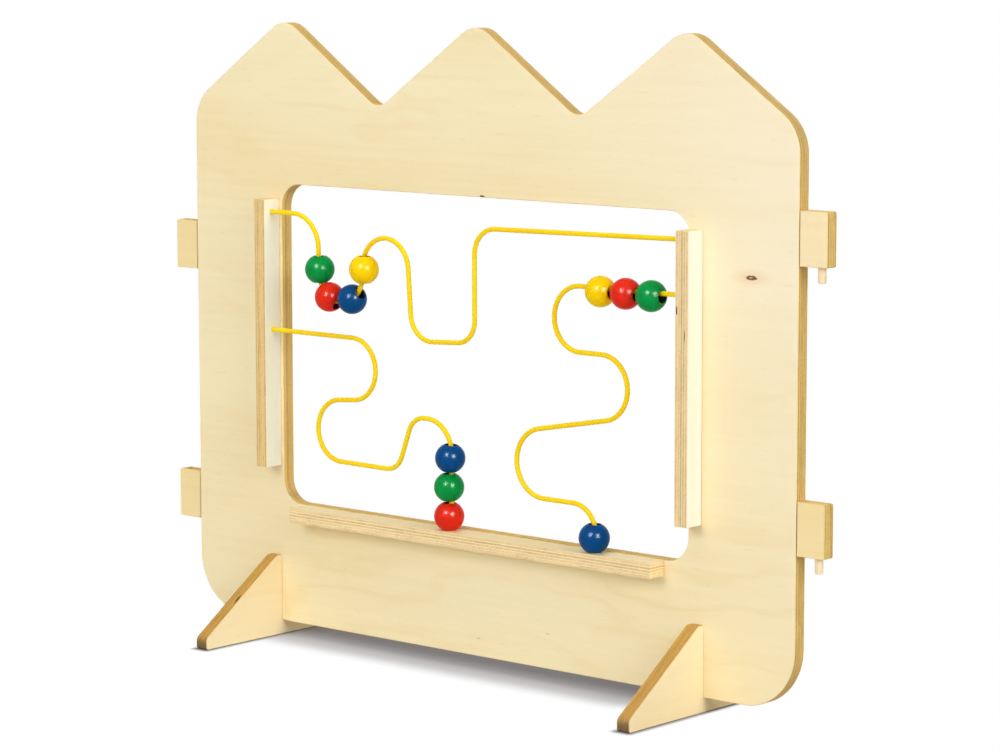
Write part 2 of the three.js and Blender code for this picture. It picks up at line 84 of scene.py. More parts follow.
class Axis(Enum):
    """Axes of a piece, by their place in a vector."""

    X = 0
    Y = 1
    Z = 2


def srgb(red: int, green: int, blue: int) -> Colour:
    """Turns a colour as seen on a screen into linear light.

    Args:
        red: part from 0 to 255.
        green: part from 0 to 255.
        blue: part from 0 to 255.

    Returns:
        The colour, with full cover.
    """
    def linear(part: int) -> float:
        """Gives one part in linear light."""
        share = part / 255
        return share / 12.92 if share <= 0.04045 else ((share + 0.055) / 1.055) ** 2.4
    return (linear(red), linear(green), linear(blue), 1.0)


class Signal:
    """One output socket of a node tree, with arithmetic that adds Math nodes."""

    def __init__(self, graph: "Graph", socket: bpy.types.NodeSocket) -> None:
        """Keeps the tree and the socket."""
        self.graph = graph
        self.socket = socket

    def math(self, operation: str, *others: "Number") -> "Signal":
        """Adds a Math node whose first value is this signal."""
        values = dict(enumerate((self, *others)))
        return self.graph.node("ShaderNodeMath", {"operation": operation}, values)

    def __add__(self, other: "Number") -> "Signal":
        """Adds."""
        return self.math("ADD", other)

    __radd__ = __add__

    def __sub__(self, other: "Number") -> "Signal":
        """Subtracts."""
        return self.math("SUBTRACT", other)

    def __rsub__(self, other: float) -> "Signal":
        """Subtracts this signal from a number."""
        return self.graph.node("ShaderNodeMath", {"operation": "SUBTRACT"}, {0: other, 1: self})

    def __mul__(self, other: "Number") -> "Signal":
        """Multiplies."""
        return self.math("MULTIPLY", other)

    __rmul__ = __mul__

    def __truediv__(self, other: "Number") -> "Signal":
        """Divides."""
        return self.math("DIVIDE", other)

    def __rtruediv__(self, other: float) -> "Signal":
        """Divides a number by this signal."""
        return self.graph.node("ShaderNodeMath", {"operation": "DIVIDE"}, {0: other, 1: self})

    def __pow__(self, power: float) -> "Signal":
        """Raises to a power."""
        return self.math("POWER", power)

    def __abs__(self) -> "Signal":
        """Drops the sign."""
        return self.math("ABSOLUTE")

    def floor(self) -> "Signal":
        """Rounds down to a whole number."""
        return self.math("FLOOR")

    def fract(self) -> "Signal":
        """Keeps what is left after rounding down."""
        return self.math("FRACT")

    def wave(self) -> "Signal":
        """Gives a sine wave between 0 and 1, with one crest for each whole number."""
        return (self * FULL_TURN).math("SINE") * 0.5 + 0.5

    def root(self) -> "Signal":
        """Takes the square root."""
        return self.math("SQRT")

    def larger(self, other: "Number") -> "Signal":
        """Gives the larger of two values."""
        return self.math("MAXIMUM", other)

    def rise(self, low: float, high: float) -> "Signal":
        """Rises smoothly from 0 to 1 between two values."""
        settings = {"interpolation_type": "SMOOTHSTEP"}
        return self.graph.node("ShaderNodeMapRange", settings, {0: self, 1: low, 2: high})


Number = Union[Signal, float]


class Graph:
    """Node tree of a material or of the world."""

    def __init__(self, tree: bpy.types.NodeTree) -> None:
        """Empties a tree and keeps it."""
        tree.nodes.clear()
        self.tree = tree

    def node(self, kind: str, settings: dict | None = None, inputs: dict | None = None,
             output: Union[int, str] = 0) -> Signal:
        """Adds one node, sets it and links it.

        Args:
            kind: the node's type.
            settings: its properties, set first.
            inputs: value or link of each socket, by name or place.
            output: the socket that is handed back.

        Returns:
            The chosen output.
        """
        made = self.tree.nodes.new(kind)
        for name, value in (settings or {}).items():
            setattr(made, name, value)
        for key, value in (inputs or {}).items():
            if isinstance(value, Signal):
                self.tree.links.new(value.socket, made.inputs[key])
            else:
                made.inputs[key].default_value = value
        return Signal(self, made.outputs[output] if made.outputs else None)

    def split(self, vector: Signal) -> list[Signal]:
        """Takes a vector apart into its three values."""
        parts = self.node("ShaderNodeSeparateXYZ", None, {0: vector}).socket.node
        return [Signal(self, socket) for socket in parts.outputs]

    def place(self) -> list[Signal]:
        """Gives the point's place in the piece's own frame, as three values."""
        return self.split(self.node("ShaderNodeTexCoord", output="Object"))

    def noise(self, place: Sequence[Number], detail: float = 2.0, roughness: float = 0.5) -> Signal:
        """Adds soft noise of about one blot for each unit.

        Args:
            place: the three values that it is read at.
            detail: how many finer layers it has.
            roughness: how strong these are.

        Returns:
            The noise, around 0.5.
        """
        vector = self.node("ShaderNodeCombineXYZ", None, dict(enumerate(place)))
        inputs = {"Vector": vector, "Scale": 1.0, "Detail": detail, "Roughness": roughness}
        return self.node("ShaderNodeTexNoise", None, inputs)

    def dice(self, value: Signal) -> Signal:
        """Gives an even random number for each value."""
        return self.node("ShaderNodeTexWhiteNoise", {"noise_dimensions": "1D"}, {"W": value})

    def mix(self, share: Number, first: Union[Signal, Colour], second: Union[Signal, Colour]) -> Signal:
        """Mixes two colours, by the share of the second."""
        settings = {"data_type": "RGBA", "clamp_factor": True}
        return self.node("ShaderNodeMix", settings, {0: share, 6: first, 7: second}, 2)

    def bump(self, height: Signal, depth: float, strength: float = 1.0) -> Signal:
        """Turns a height between 0 and 1, where 1 stands for a depth in metres, into a normal."""
        inputs = {"Strength": strength, "Distance": depth, "Height": height}
        return self.node("ShaderNodeBump", None, inputs)


class Finish:
    """What every finish shares: a material made by its own paint method."""

    name: str

    def paint(self, graph: Graph) -> dict:
        """Gives the shader's socket values and links."""
        raise NotImplementedError

    def material(self) -> bpy.types.Material:
        """Makes a new material with the finish's name.

        Returns:
            The material.
        """
        made = bpy.data.materials.new(self.name)
        made.use_nodes = True
        graph = Graph(made.node_tree)
        shader = graph.node("ShaderNodeBsdfPrincipled", None, self.paint(graph))
        graph.node("ShaderNodeOutputMaterial", None, {"Surface": shader})
        return made


@dataclass(frozen=True)
class Knot:
    """A mark in the veneer, placed along and across the grain in the piece's own frame."""

    along: float
    across: float
    length: float
    height: float
    halo: float = 0.0
    strength: float = 1.0


@dataclass(frozen=True)
class Tint:
    """A board's own colours: its veneer, pale and warm, and its plies, light and dark."""

    pale: Colour
    warm: Colour
    light_ply: Colour = srgb(232, 197, 110)
    dark_ply: Colour = srgb(178, 131, 44)


class Timber(Enum):
    """The boards that the pieces are cut from."""

    PANEL = Tint(srgb(251, 236, 193), srgb(243, 220, 163))
    FOOT = Tint(srgb(246, 229, 186), srgb(238, 213, 157), srgb(208, 160, 64), srgb(146, 96, 20))
    LEFT_RAIL = Tint(srgb(255, 250, 226), srgb(254, 243, 210), srgb(240, 207, 138), srgb(194, 148, 74))
    RIGHT_RAIL = Tint(srgb(250, 239, 222), srgb(247, 230, 206), srgb(244, 216, 160), srgb(200, 160, 96))
    BOTTOM_RAIL = Tint(srgb(240, 220, 170), srgb(225, 199, 142), srgb(252, 226, 170), srgb(212, 172, 108))
    BLOCK = Tint(srgb(250, 227, 169), srgb(242, 213, 145))
    PALE_BLOCK = Tint(srgb(253, 233, 187), srgb(245, 218, 159))


@dataclass(frozen=True)
class Stretch:
    """Noise drawn out along the grain: blots to the metre along and across it, and how it is read."""

    along: float
    across: float
    shift: float
    detail: float = 1.0
    roughness: float = 0.5
    span: tuple[float, float] | None = None

    def read(self, graph: Graph, along: Signal, across: Signal, seed: float) -> Signal:
        """Reads the noise, as a rise between two values where it has such a span.

        Args:
            graph: the tree.
            along: place along the grain.
            across: place across the grain.
            seed: the board's own number.

        Returns:
            The noise there.
        """
        place = (along * self.along, across * self.across, seed + self.shift)
        noise = graph.noise(place, self.detail, self.roughness)
        return noise.rise(*self.span) if self.span else noise


class Mark(Enum):
    """What the veneer shows."""

    CLOUD = Stretch(2.1, 6.5, 0, 3.0)
    STREAK = Stretch(5, 130, 3, 4.0, 0.6)
    DRIFT = Stretch(9, 30, 5, 2.0)
    PATCH = Stretch(3, 5, 9, span=(0.42, 0.66))
    PORE = Stretch(90, 1500, 13, span=(0.63, 0.76))
    FLECK = Stretch(45, 260, 17, span=(0.66, 0.78))


@dataclass(frozen=True)
class Plywood(Finish):
    """Birch plywood under a matt clear lacquer: pale veneer, and stacked plies on the edges.

    Scales are blots to the metre, and a pair of them is for the way through the sheet and along its edge.
    """

    name: str
    sheet: Axis
    grain: Axis
    thickness: float
    seed: float
    timber: Timber
    knots: tuple[Knot, ...] = ()
    voids: tuple[Knot, ...] = ()
    plies: int = 11
    # Share and height of painted shade on the plies near the floor.
    grime: float = 0.0
    grime_height: float = 18 * MM
    # Share of painted shade on slanting edges, which face up into the overhead light.
    soak: float = 0.0
    # Share of painted light towards the upper right of the face.
    bleach: float = 0.0
    hollows: float = 1.0
    # Share of painted light on the window's left edge, which lies in shade.
    fresh: float = 0.0
    wobble_scale: float = 260
    line_pitch: float = 21
    line_sway: float = 7
    line_drift: float = 1.2
    line_sharpness: float = 5
    leaf_shift: float = 0.9
    ply_scale: float = 7
    ply_drift: float = 0.35
    fibre_scale: tuple[float, float] = (1300, 48)
    speckle_scale: float = 420
    seam_scale: float = 34
    hollow_scale: tuple[float, float] = (60, 21)
    hollow_shift: float = 3.7
    relief: float = 0.12 * MM
    # Colour of the painted shade on slanting edges.
    soaked: Colour = srgb(136, 112, 84)
    # Colour of the painted light towards the upper right.
    bleached: Colour = srgb(255, 243, 218)
    pore: Colour = srgb(206, 170, 112)
    # Colour of the painted light on the window's left edge.
    fresh_ply: Colour = srgb(250, 208, 116)
    glue: Colour = srgb(112, 78, 36)
    # Colour of hollows in the plies, and of the painted shade near the floor.
    hollow: Colour = srgb(48, 33, 20)
    knot_rim: Colour = srgb(104, 62, 8)
    knot_heart: Colour = srgb(226, 204, 164)
    knot_glow: Colour = srgb(240, 196, 138)

    def knot_field(self, graph: Graph, knot: Knot, along: Signal, across: Signal) -> Signal:
        """Measures how far a point is from a knot.

        Args:
            graph: the tree.
            knot: the knot.
            along: place along the grain.
            across: place across the grain.

        Returns:
            The distance, in units of the knot's own size.
        """
        scale = self.wobble_scale
        wobble = (graph.noise((along * scale, across * scale, self.seed), 1.0) - 0.5) * 0.7
        out_along = (along - knot.along) / knot.length
        out_across = (across - knot.across) / knot.height
        return (out_along * out_along + out_across * out_across).root() + wobble

    def scaled(self, place: list[Signal], scale: tuple[float, float]) -> list[Signal]:
        """Scales a place by one number through the sheet and by another along it."""
        through, along = scale
        return [value * (through if axis == self.sheet.value else along) for axis, value in enumerate(place)]

    def veneer(self, graph: Graph, along: Signal, across: Signal, front: Signal) -> tuple[Signal, Signal]:
        """Paints the face: streaks along the grain, drifting growth lines, pores, knots and painted light.

        Args:
            graph: the tree.
            along: place along the grain.
            across: place across the grain.
            front: 1 on the sheet's front and 0 on its back.

        Returns:
            The colour and a height for the bump.
        """
        marks = {mark: mark.value.read(graph, along, across, self.seed) for mark in Mark}
        cloud, streak, pore = marks[Mark.CLOUD], marks[Mark.STREAK], marks[Mark.PORE]
        growth = cloud * self.line_sway + across * self.line_pitch + marks[Mark.DRIFT] * self.line_drift
        lines = growth.wave() ** self.line_sharpness
        tone = cloud * 0.8 + streak * 0.34 + lines * marks[Mark.PATCH] * 0.16 - 0.22
        colour = graph.mix(tone.rise(0.1, 0.8), self.timber.value.pale, self.timber.value.warm)
        # Painted light: the face turns paler towards the upper right, where the key lamp falls.
        lit_corner = (along * 0.9 + across * 0.6).rise(0.35, 0.7)
        colour = graph.mix(lit_corner * self.bleach, colour, self.bleached)
        colour = graph.mix(pore * 0.12 + marks[Mark.FLECK] * 0.1, colour, self.pore)
        for knot in self.knots:
            far = self.knot_field(graph, knot, along, across)
            glow = (1 - (far / 5).rise(0.0, 1.0)) * knot.halo * front * 0.5
            colour = graph.mix(glow, colour, self.knot_glow)
            colour = graph.mix((1 - far.rise(0.8, 1.25)) * front * knot.strength, colour, self.knot_rim)
            colour = graph.mix((1 - far.rise(0.1, 0.45)) * front * knot.halo * 0.8, colour, self.knot_heart)
        return colour, streak * 0.5 + (1 - pore) * 0.5

    def edge(self, graph: Graph, place: list[Signal], depth: Signal, slant: Signal) -> tuple[Signal, Signal]:
        """Paints the cut edge: alternate plies, dark glue lines, fibres, a few hollows, and painted shade.

        Args:
            graph: the tree.
            place: the point's three values.
            depth: share of the way through the sheet.
            slant: 1 where the edge runs at 45 degrees to the grain.

        Returns:
            The colour and a height for the bump.
        """
        drift = (graph.noise([value * self.ply_scale for value in place], 1.0) - 0.5) * self.ply_drift
        ply = depth * self.plies + drift
        layer = ply.floor()
        off_middle = abs(ply.fract() - 0.5)
        crossed = (layer * 0.5).fract() * 2
        across, through, up = self.scaled(place, self.fibre_scale)
        fibre = graph.noise([across + self.seed, through, up], 4.0, 0.7)
        speckle = graph.noise([value * self.speckle_scale for value in place], 2.0)
        tone = crossed * 0.3 + graph.dice(layer + self.seed) * 0.4 + fibre * 1.4 + speckle * 0.5 - 1.0
        colour = graph.mix(tone.rise(0.0, 0.9), self.timber.value.light_ply, self.timber.value.dark_ply)
        broken = graph.noise([value * self.seam_scale for value in place], 2.0).rise(0.35, 0.65)
        seam = off_middle.rise(0.38, 0.5) * (0.3 + broken * 0.7)
        colour = graph.mix(seam * 0.6, colour, self.glue)
        across, through, up = self.scaled(place, self.hollow_scale)
        spot = [across, through + self.seed, up + layer * self.hollow_shift]
        gap = graph.noise(spot, 0.0).rise(0.8, 0.82) * (1 - off_middle.rise(0.2, 0.4)) * self.hollows
        for void in self.voids:
            far = self.knot_field(graph, void, place[self.grain.value], place[self.sheet.value])
            gap = gap.larger(1 - far.rise(0.7, 1.2))
        colour = graph.mix(gap, colour, self.hollow)
        # Painted shade on slanting edges, the upward slopes that the lamps light too brightly.
        colour = graph.mix(slant * self.soak, colour, self.soaked)
        skin = abs(depth - 0.5).rise(0.43, 0.47)
        colour = graph.mix(skin * 0.7, colour, self.timber.value.warm)
        # Painted shade: the plies darken towards the floor.
        low = (1 - place[Axis.Z.value].rise(4 * MM, self.grime_height)) * self.grime
        colour = graph.mix(low, colour, self.hollow)
        return colour, fibre * 0.5 + (1 - seam) * 0.3 + (1 - gap) * 0.2

    def reveal(self, along: Signal, faces_along: Signal, depth: Signal) -> Signal:
        """Finds where light is painted on the plies of the window's left edge.

        Args:
            along: place along the grain.
            faces_along: how far the surface faces along the grain.
            depth: share of the way through the sheet.

        Returns:
            1 where that painted light is strongest and 0 away from that edge.
        """
        left_edge = faces_along.rise(0.7, 0.95) * (1 - along.rise(-100 * MM, 100 * MM))
        return left_edge * (1 - depth.rise(0.25, 0.32) + depth.rise(0.42, 0.5) * 0.6)

    def paint(self, graph: Graph) -> dict:
        """Sets the veneer against the edge by the way that the surface faces.

        Args:
            graph: the tree.

        Returns:
            The shader's socket values and links.
        """
        place = graph.place()
        ways = graph.split(graph.node("ShaderNodeTexCoord", output="Normal"))
        third = ({0, 1, 2} - {self.sheet.value, self.grain.value}).pop()
        facing = ways[self.sheet.value]
        slant = abs(ways[self.grain.value] * ways[third]) * 2
        depth = place[self.sheet.value] / self.thickness + 0.5
        front = 1 - facing.rise(-0.6, -0.4)
        across = place[third] if self.knots else place[third] + depth * self.leaf_shift
        face, face_height = self.veneer(graph, place[self.grain.value], across, front)
        edge, edge_height = self.edge(graph, place, depth, slant)
        reveal = self.reveal(place[self.grain.value], ways[self.grain.value], depth)
        # Painted light on the window's left edge, against the shade that falls there.
        edge = graph.mix(reveal * self.fresh, edge, self.fresh_ply)
        on_edge = 1 - abs(facing).rise(0.86, 0.97)
        height = face_height * (1 - on_edge) * 0.25 + edge_height * on_edge
        return {
            "Base Color": graph.mix(on_edge, face, edge),
            "Roughness": 0.46 + on_edge * 0.2 + face_height * 0.06,
            "Specular IOR Level": 0.22,
            "Normal": graph.bump(height, self.relief, 0.6),
        }


@dataclass(frozen=True)
class Beech(Finish):
    """Turned beech rod: straight grain with short flecks, and rings on its ends."""

    name: str
    seed: float
    streak_scale: tuple[float, float] = (520, 14)
    dash_scale: tuple[float, float] = (900, 170)
    relief: float = 0.06 * MM
    pale: Colour = srgb(251, 228, 184)
    warm: Colour = srgb(235, 202, 148)
    fleck: Colour = srgb(178, 128, 78)

    def paint(self, graph: Graph) -> dict:
        """Runs the grain along the rod.

        Args:
            graph: the tree.

        Returns:
            The shader's socket values and links.
        """
        across, through, along = graph.place()
        fine, long = self.streak_scale
        streak = graph.noise((across * fine + self.seed, through * fine, along * long), 3.0)
        fine, long = self.dash_scale
        dash = graph.noise((across * fine, through * fine + self.seed, along * long), 1.0).rise(0.64, 0.74)
        colour = graph.mix(streak.rise(0.3, 0.75), self.pale, self.warm)
        return {
            "Base Color": graph.mix(dash * 0.4, colour, self.fleck),
            "Roughness": 0.5 + streak * 0.15,
            "Specular IOR Level": 0.35,
            "Normal": graph.bump(streak * 0.6 + (1 - dash) * 0.4, self.relief, 0.6),
        }


@dataclass(frozen=True)
class Lacquer(Finish):
    """Gloss lacquer on a turned bead, with painted shade inside the bore, and rubbed a little at its rim."""

    name: str
    coat: Colour
    deep: Colour
    bore: float
    seed: float
    cloud_scale: float = 90
    scuff_scale: tuple[float, float] = (240, 900)
    turning_pitch: float = 1700
    peel_scale: float = 700
    relief: float = 0.002 * MM
    # Painted shade inside the bore.
    inside: Colour = srgb(22, 17, 14)
    rubbed: Colour = srgb(205, 172, 122)

    def paint(self, graph: Graph) -> dict:
        """Lays the lacquer over faint turning marks.

        Args:
            graph: the tree.

        Returns:
            The shader's socket values and links.
        """
        across, through, along = place = graph.place()
        reach = (across * across + through * through).root() / self.bore
        seeds = (self.seed, 0.0, 0.0)
        cloud = graph.noise([value * self.cloud_scale + seed for value, seed in zip(place, seeds)], 3.0)
        round_it, down_it = self.scuff_scale
        scuff = graph.noise((across * round_it, through * round_it + self.seed, along * down_it), 2.0)
        turned = (along * self.turning_pitch).wave()
        peel = graph.noise([value * self.peel_scale + seed for value, seed in zip(place, seeds[::-1])], 1.0)
        colour = graph.mix(cloud.rise(0.35, 0.75), self.coat, self.deep)
        rim = (1 - abs(reach - 1.06).rise(0.02, 0.1)) * cloud.rise(0.5, 0.62)
        colour = graph.mix(rim * 0.35, colour, self.rubbed)
        rough_bore = (1 - reach.rise(0.97, 1.05)) * 0.5
        return {
            # Painted shade: the bore's wall is near black.
            "Base Color": graph.mix(1 - reach.rise(0.99, 1.03), colour, self.inside),
            "Roughness": 0.2 + scuff.rise(0.6, 0.8) * 0.05 + cloud * 0.05 + rough_bore,
            "Specular IOR Level": 0.055,
            "Coat Weight": reach.rise(1.0, 1.1) * 0.03,
            "Coat Roughness": 0.1,
            "Normal": graph.bump(turned * 0.25 + peel * 0.75, self.relief, 0.25),
        }


@dataclass(frozen=True)
class WireCoating(Finish):
    """Smooth yellow coating on steel wire, a little paler where beads have polished it."""

    name: str
    seed: float
    cloud_scale: float = 22
    rub_scale: float = 9
    scratch_scale: float = 300
    relief: float = 0.001 * MM
    coat: Colour = srgb(255, 221, 4)
    deep: Colour = srgb(254, 210, 0)
    polished: Colour = srgb(255, 227, 30)

    def paint(self, graph: Graph) -> dict:
        """Varies the coat along the wire.

        Args:
            graph: the tree.

        Returns:
            The shader's socket values and links.
        """
        place = graph.place()
        cloud = graph.noise([value * self.cloud_scale + self.seed for value in place], 1.0)
        rub = graph.noise([value * self.rub_scale + self.seed for value in place], 1.0).rise(0.5, 0.7)
        scratch = graph.noise([value * self.scratch_scale for value in place], 1.0).rise(0.62, 0.75)
        colour = graph.mix(cloud.rise(0.35, 0.7), self.coat, self.deep)
        return {
            "Base Color": graph.mix(rub * 0.3, colour, self.polished),
            "Roughness": 0.4 - rub * 0.1 + scratch * 0.05,
            "Specular IOR Level": 0.2,
            "Coat Weight": rub * 0.05,
            "Normal": graph.bump(scratch, self.relief, 0.1),
        }


@dataclass(frozen=True)
class Zinc(Finish):
    """Bright zinc on a steel screw, clouded and faintly ringed by its turning."""

    name: str
    cloud_scale: float = 500
    ring_pitch: float = 2600
    relief: float = 0.02 * MM
    bright: Colour = srgb(206, 208, 212)
    dull: Colour = srgb(150, 152, 158)

    def paint(self, graph: Graph) -> dict:
        """Clouds the plating.

        Args:
            graph: the tree.

        Returns:
            The shader's socket values and links.
        """
        across, through, _ = place = graph.place()
        cloud = graph.noise([value * self.cloud_scale for value in place], 3.0)
        ring = ((across * across + through * through).root() * self.ring_pitch).wave()
        return {
            "Base Color": graph.mix(cloud.rise(0.3, 0.7), self.bright, self.dull),
            "Metallic": 1.0,
            "Roughness": 0.28 + cloud * 0.2,
            "Normal": graph.bump(ring * 0.5 + cloud * 0.5, self.relief, 0.5),
        }


def rounded(corners: Sequence[Corner], step: float = 6.0) -> Loop:
    """Draws a closed outline whose corners are arcs.

    Args:
        corners: across, up and radius of each corner, in order.
        step: angle between points of an arc, in degrees.

    Returns:
        The points of the outline, in the same order.
    """
    loop: Loop = []
    for index, (across, up, radius) in enumerate(corners):
        corner = Vector((across, up))
        before = (Vector(corners[index - 1][:2]) - corner).normalized()
        after = (Vector(corners[(index + 1) % len(corners)][:2]) - corner).normalized()
        half = before.angle(after) / 2
        centre = corner + (before + after).normalized() * (radius / math.sin(half))
        start = corner + before * (radius / math.tan(half)) - centre
        sweep = (math.pi - 2 * half) * math.copysign(1, after.x * before.y - after.y * before.x)
        count = max(2, math.ceil(math.degrees(abs(sweep)) / step))
        for part in range(count + 1):
            turn = Matrix.Rotation(sweep * part / count, 2)
            loop.append(tuple(centre + turn @ start))
    return loop


def rectangle(half: Vector, left: float, right: float) -> list[Corner]:
    """Lists the corners of an upright rectangle, with the radii of its left and right ones."""
    low = [(-half.x, -half.z, left), (half.x, -half.z, right)]
    return low + [(half.x, half.z, right), (-half.x, half.z, left)]


def inset(loop: Loop, distance: float) -> Loop:
    """Moves each point of an outline into the material on its left.

    Args:
        loop: the outline.
        distance: how far its sides move.

    Returns:
        The smaller outline, point for point.
    """
    moved: Loop = []
    for index, point in enumerate(loop):
        here = Vector(point)
        along_in = (here - Vector(loop[index - 1])).normalized()
        along_out = (Vector(loop[(index + 1) % len(loop)]) - here).normalized()
        left_in = Vector((-along_in.y, along_in.x))
        left_out = Vector((-along_out.y, along_out.x))
        moved.append(tuple(here + (left_in + left_out) * (distance / (1 + left_in.dot(left_out)))))
    return moved


@dataclass
class Board:
    """A flat piece cut from a sheet, with its edges eased."""

    outline: Loop
    thickness: float
    easing: float
    normal: Axis = Axis.Y
    window: Loop | None = None
    easing_steps: int = 4
    tie_digits: int = 5

    def layers(self) -> list[Point]:
        """Lists the rings of points from one face to the other.

        Returns:
            The inset and depth of each ring.
        """
        quarter = [QUARTER_TURN * step / self.easing_steps for step in range(self.easing_steps + 1)]
        near = [(self.easing * (1 - math.sin(turn)), self.easing * (1 - math.cos(turn))) for turn in quarter]
        half = self.thickness / 2
        front = [(cut, depth - half) for cut, depth in near]
        return front + [(cut, half - depth) for cut, depth in reversed(near)]

    def lift(self, point: Point, depth: float) -> Vector:
        """Stands a flat point up in space."""
        across, up = point
        return Vector((depth, across, up) if self.normal is Axis.X else (across, depth, up))

    def rings(self, shape: bmesh.types.BMesh, loop: Loop) -> list[list[bmesh.types.BMVert]]:
        """Adds the walls along one outline.

        Args:
            shape: the mesh that is being made.
            loop: the outline, with the material on its left.

        Returns:
            The rings of points, from the front to the back.
        """
        made = []
        for cut, depth in self.layers():
            made.append([shape.verts.new(self.lift(point, depth)) for point in inset(loop, cut)])
        for near, far in zip(made, made[1:]):
            for index in range(len(loop)):
                after = (index + 1) % len(loop)
                shape.faces.new((near[index], far[index], far[after], near[after]))
        return made

    def cap(self, shape: bmesh.types.BMesh, rim: list, hole: list | None) -> None:
        """Closes one face, in two halves where it has a window.

        Args:
            shape: the mesh that is being made.
            rim: points of the outline.
            hole: points of the window, if any.
        """
        if hole is None:
            shape.faces.new(rim)
            return

        def stretch(ring: list, first: int, last: int) -> list:
            """Walks round a ring from one place to another."""
            return [ring[(first + step) % len(ring)] for step in range((last - first) % len(ring) + 1)]

        def nearest(ring: list, target: Vector) -> int:
            """Finds the place of the point nearest to another."""
            return min(range(len(ring)), key=lambda place: (ring[place].co - target).length)

        def height(place: int) -> float:
            """Gives the height of one of the window's points, with near ties made even."""
            return round(hole[place].co.z, self.tie_digits)
        top = max(range(len(hole)), key=lambda place: (height(place), -hole[place].co.x))
        low = min(range(len(hole)), key=lambda place: (height(place), hole[place].co.x))
        above = nearest(rim, hole[top].co + Vector((0, 0, self.thickness)))
        below = nearest(rim, hole[low].co - Vector((0, 0, self.thickness)))
        shape.faces.new(stretch(rim, above, below) + stretch(hole, low, top))
        shape.faces.new(stretch(rim, below, above) + stretch(hole, top, low))

    def mesh(self, name: str) -> bpy.types.Mesh:
        """Makes the closed mesh.

        Args:
            name: the mesh's name.

        Returns:
            The mesh.
        """
        shape = bmesh.new()
        walls = self.rings(shape, self.outline)
        inner = self.rings(shape, self.window) if self.window else None
        for side in (0, -1):
            self.cap(shape, walls[side], inner[side] if inner else None)
        return finished(shape, name)


def crisp(mesh: bpy.types.Mesh) -> None:
    """Shades a mesh with smooth rounds and crisp edges."""
    mesh.polygons.foreach_set("use_smooth", [True] * len(mesh.polygons))
    mesh.set_sharp_from_angle(angle=CRISP_ANGLE)


def finished(shape: bmesh.types.BMesh, name: str) -> bpy.types.Mesh:
    """Turns a working mesh into a mesh whose faces look outwards.

    Args:
        shape: the working mesh, which is used up.
        name: the mesh's name.

    Returns:
        The mesh.
    """
    bmesh.ops.recalc_face_normals(shape, faces=shape.faces)
    mesh = bpy.data.meshes.new(name)
    shape.to_mesh(mesh)
    shape.free()
    crisp(mesh)
    return mesh


def join_rings(shape: bmesh.types.BMesh, pairs: Iterable[tuple[list, list]], sides: int) -> None:
    """Adds the faces between pairs of rings, where a ring of one point is a tip.

    Args:
        shape: the mesh that is being made.
        pairs: the neighbouring rings.
        sides: how many points go round.
    """
    for low, high in pairs:
        for side in range(sides):
            after = (side + 1) % sides
            corners = [low[side % len(low)], low[after % len(low)]]
            corners += [high[after % len(high)], high[side % len(high)]]
            shape.faces.new(list(dict.fromkeys(corners)))


def round_turns(sides: int) -> list[float]:
    """Lists the angles of a round's points."""
    return [FULL_TURN * side / sides for side in range(sides)]


def lathe(profile: Sequence[Point], sides: int, name: str) -> bpy.types.Mesh:
    """Turns a profile about Z.

    Args:
        profile: radius and height of each point; it starts and ends on the axis or meets itself.
        sides: how many steps go round.
        name: the mesh's name.

    Returns:
        The closed mesh.
    """
    shape = bmesh.new()
    closed = profile[0] == profile[-1]
    rings = []
    for radius, height in profile[:-1] if closed else profile:
        turns = round_turns(sides) if radius > ON_AXIS else [0.0]
        rings.append([shape.verts.new((radius * math.cos(t), radius * math.sin(t), height)) for t in turns])
    pairs = list(zip(rings, rings[1:])) + ([(rings[-1], rings[0])] if closed else [])
    join_rings(shape, pairs, sides)
    return finished(shape, name)


def stand(name: str, mesh: bpy.types.Mesh, place: Matrix) -> bpy.types.Object:
    """Puts a mesh into the scene.

    Args:
        name: the piece's name.
        mesh: its mesh.
        place: where it stands.

    Returns:
        The piece.
    """
    made = bpy.data.objects.new(name, mesh)
    bpy.context.scene.collection.objects.link(made)
    made.matrix_world = place
    return made


def cut_away(piece: bpy.types.Object, cutters: Iterable[bpy.types.Object]) -> None:
    """Cuts other solids out of a piece and deletes them.

    Args:
        piece: the piece that is cut.
        cutters: the solids, which are used up.
    """
    used = list(cutters)
    for cutter in used:
        change = piece.modifiers.new("cut", "BOOLEAN")
        change.object = cutter
        change.operation = "DIFFERENCE"
        change.solver = "EXACT"
    bpy.context.view_layer.update()
    result = bpy.data.meshes.new_from_object(piece.evaluated_get(bpy.context.evaluated_depsgraph_get()))
    piece.modifiers.clear()
    piece.data = result
    for cutter in used:
        bpy.data.objects.remove(cutter)
    crisp(result)


def rod_cutter(radius: float, start: Vector, end: Vector, sides: int = 32) -> bpy.types.Object:
    """Makes a round cutter between two points.

    Args:
        radius: its radius.
        start: middle of one end.
        end: middle of the other.
        sides: how many steps go round.

    Returns:
        The cutter.
    """
    length = (end - start).length
    mesh = lathe([(0, 0), (radius, 0), (radius, length), (0, length)], sides, "cutter")
    turn = (end - start).to_track_quat("Z", "Y").to_matrix().to_4x4()
    return stand("cutter", mesh, Matrix.Translation(start) @ turn)


def box_cutter(low: Vector, high: Vector) -> bpy.types.Object:
    """Makes a square cutter between two opposite corners.

    Args:
        low: the corner with the smaller values.
        high: the corner with the larger values.

    Returns:
        The cutter.
    """
    shape = bmesh.new()
    size = Matrix.Diagonal((high - low).to_4d())
    bmesh.ops.create_cube(shape, size=1.0, matrix=Matrix.Translation((low + high) / 2) @ size)
    return stand("cutter", finished(shape, "cutter"), Matrix.Identity(4))


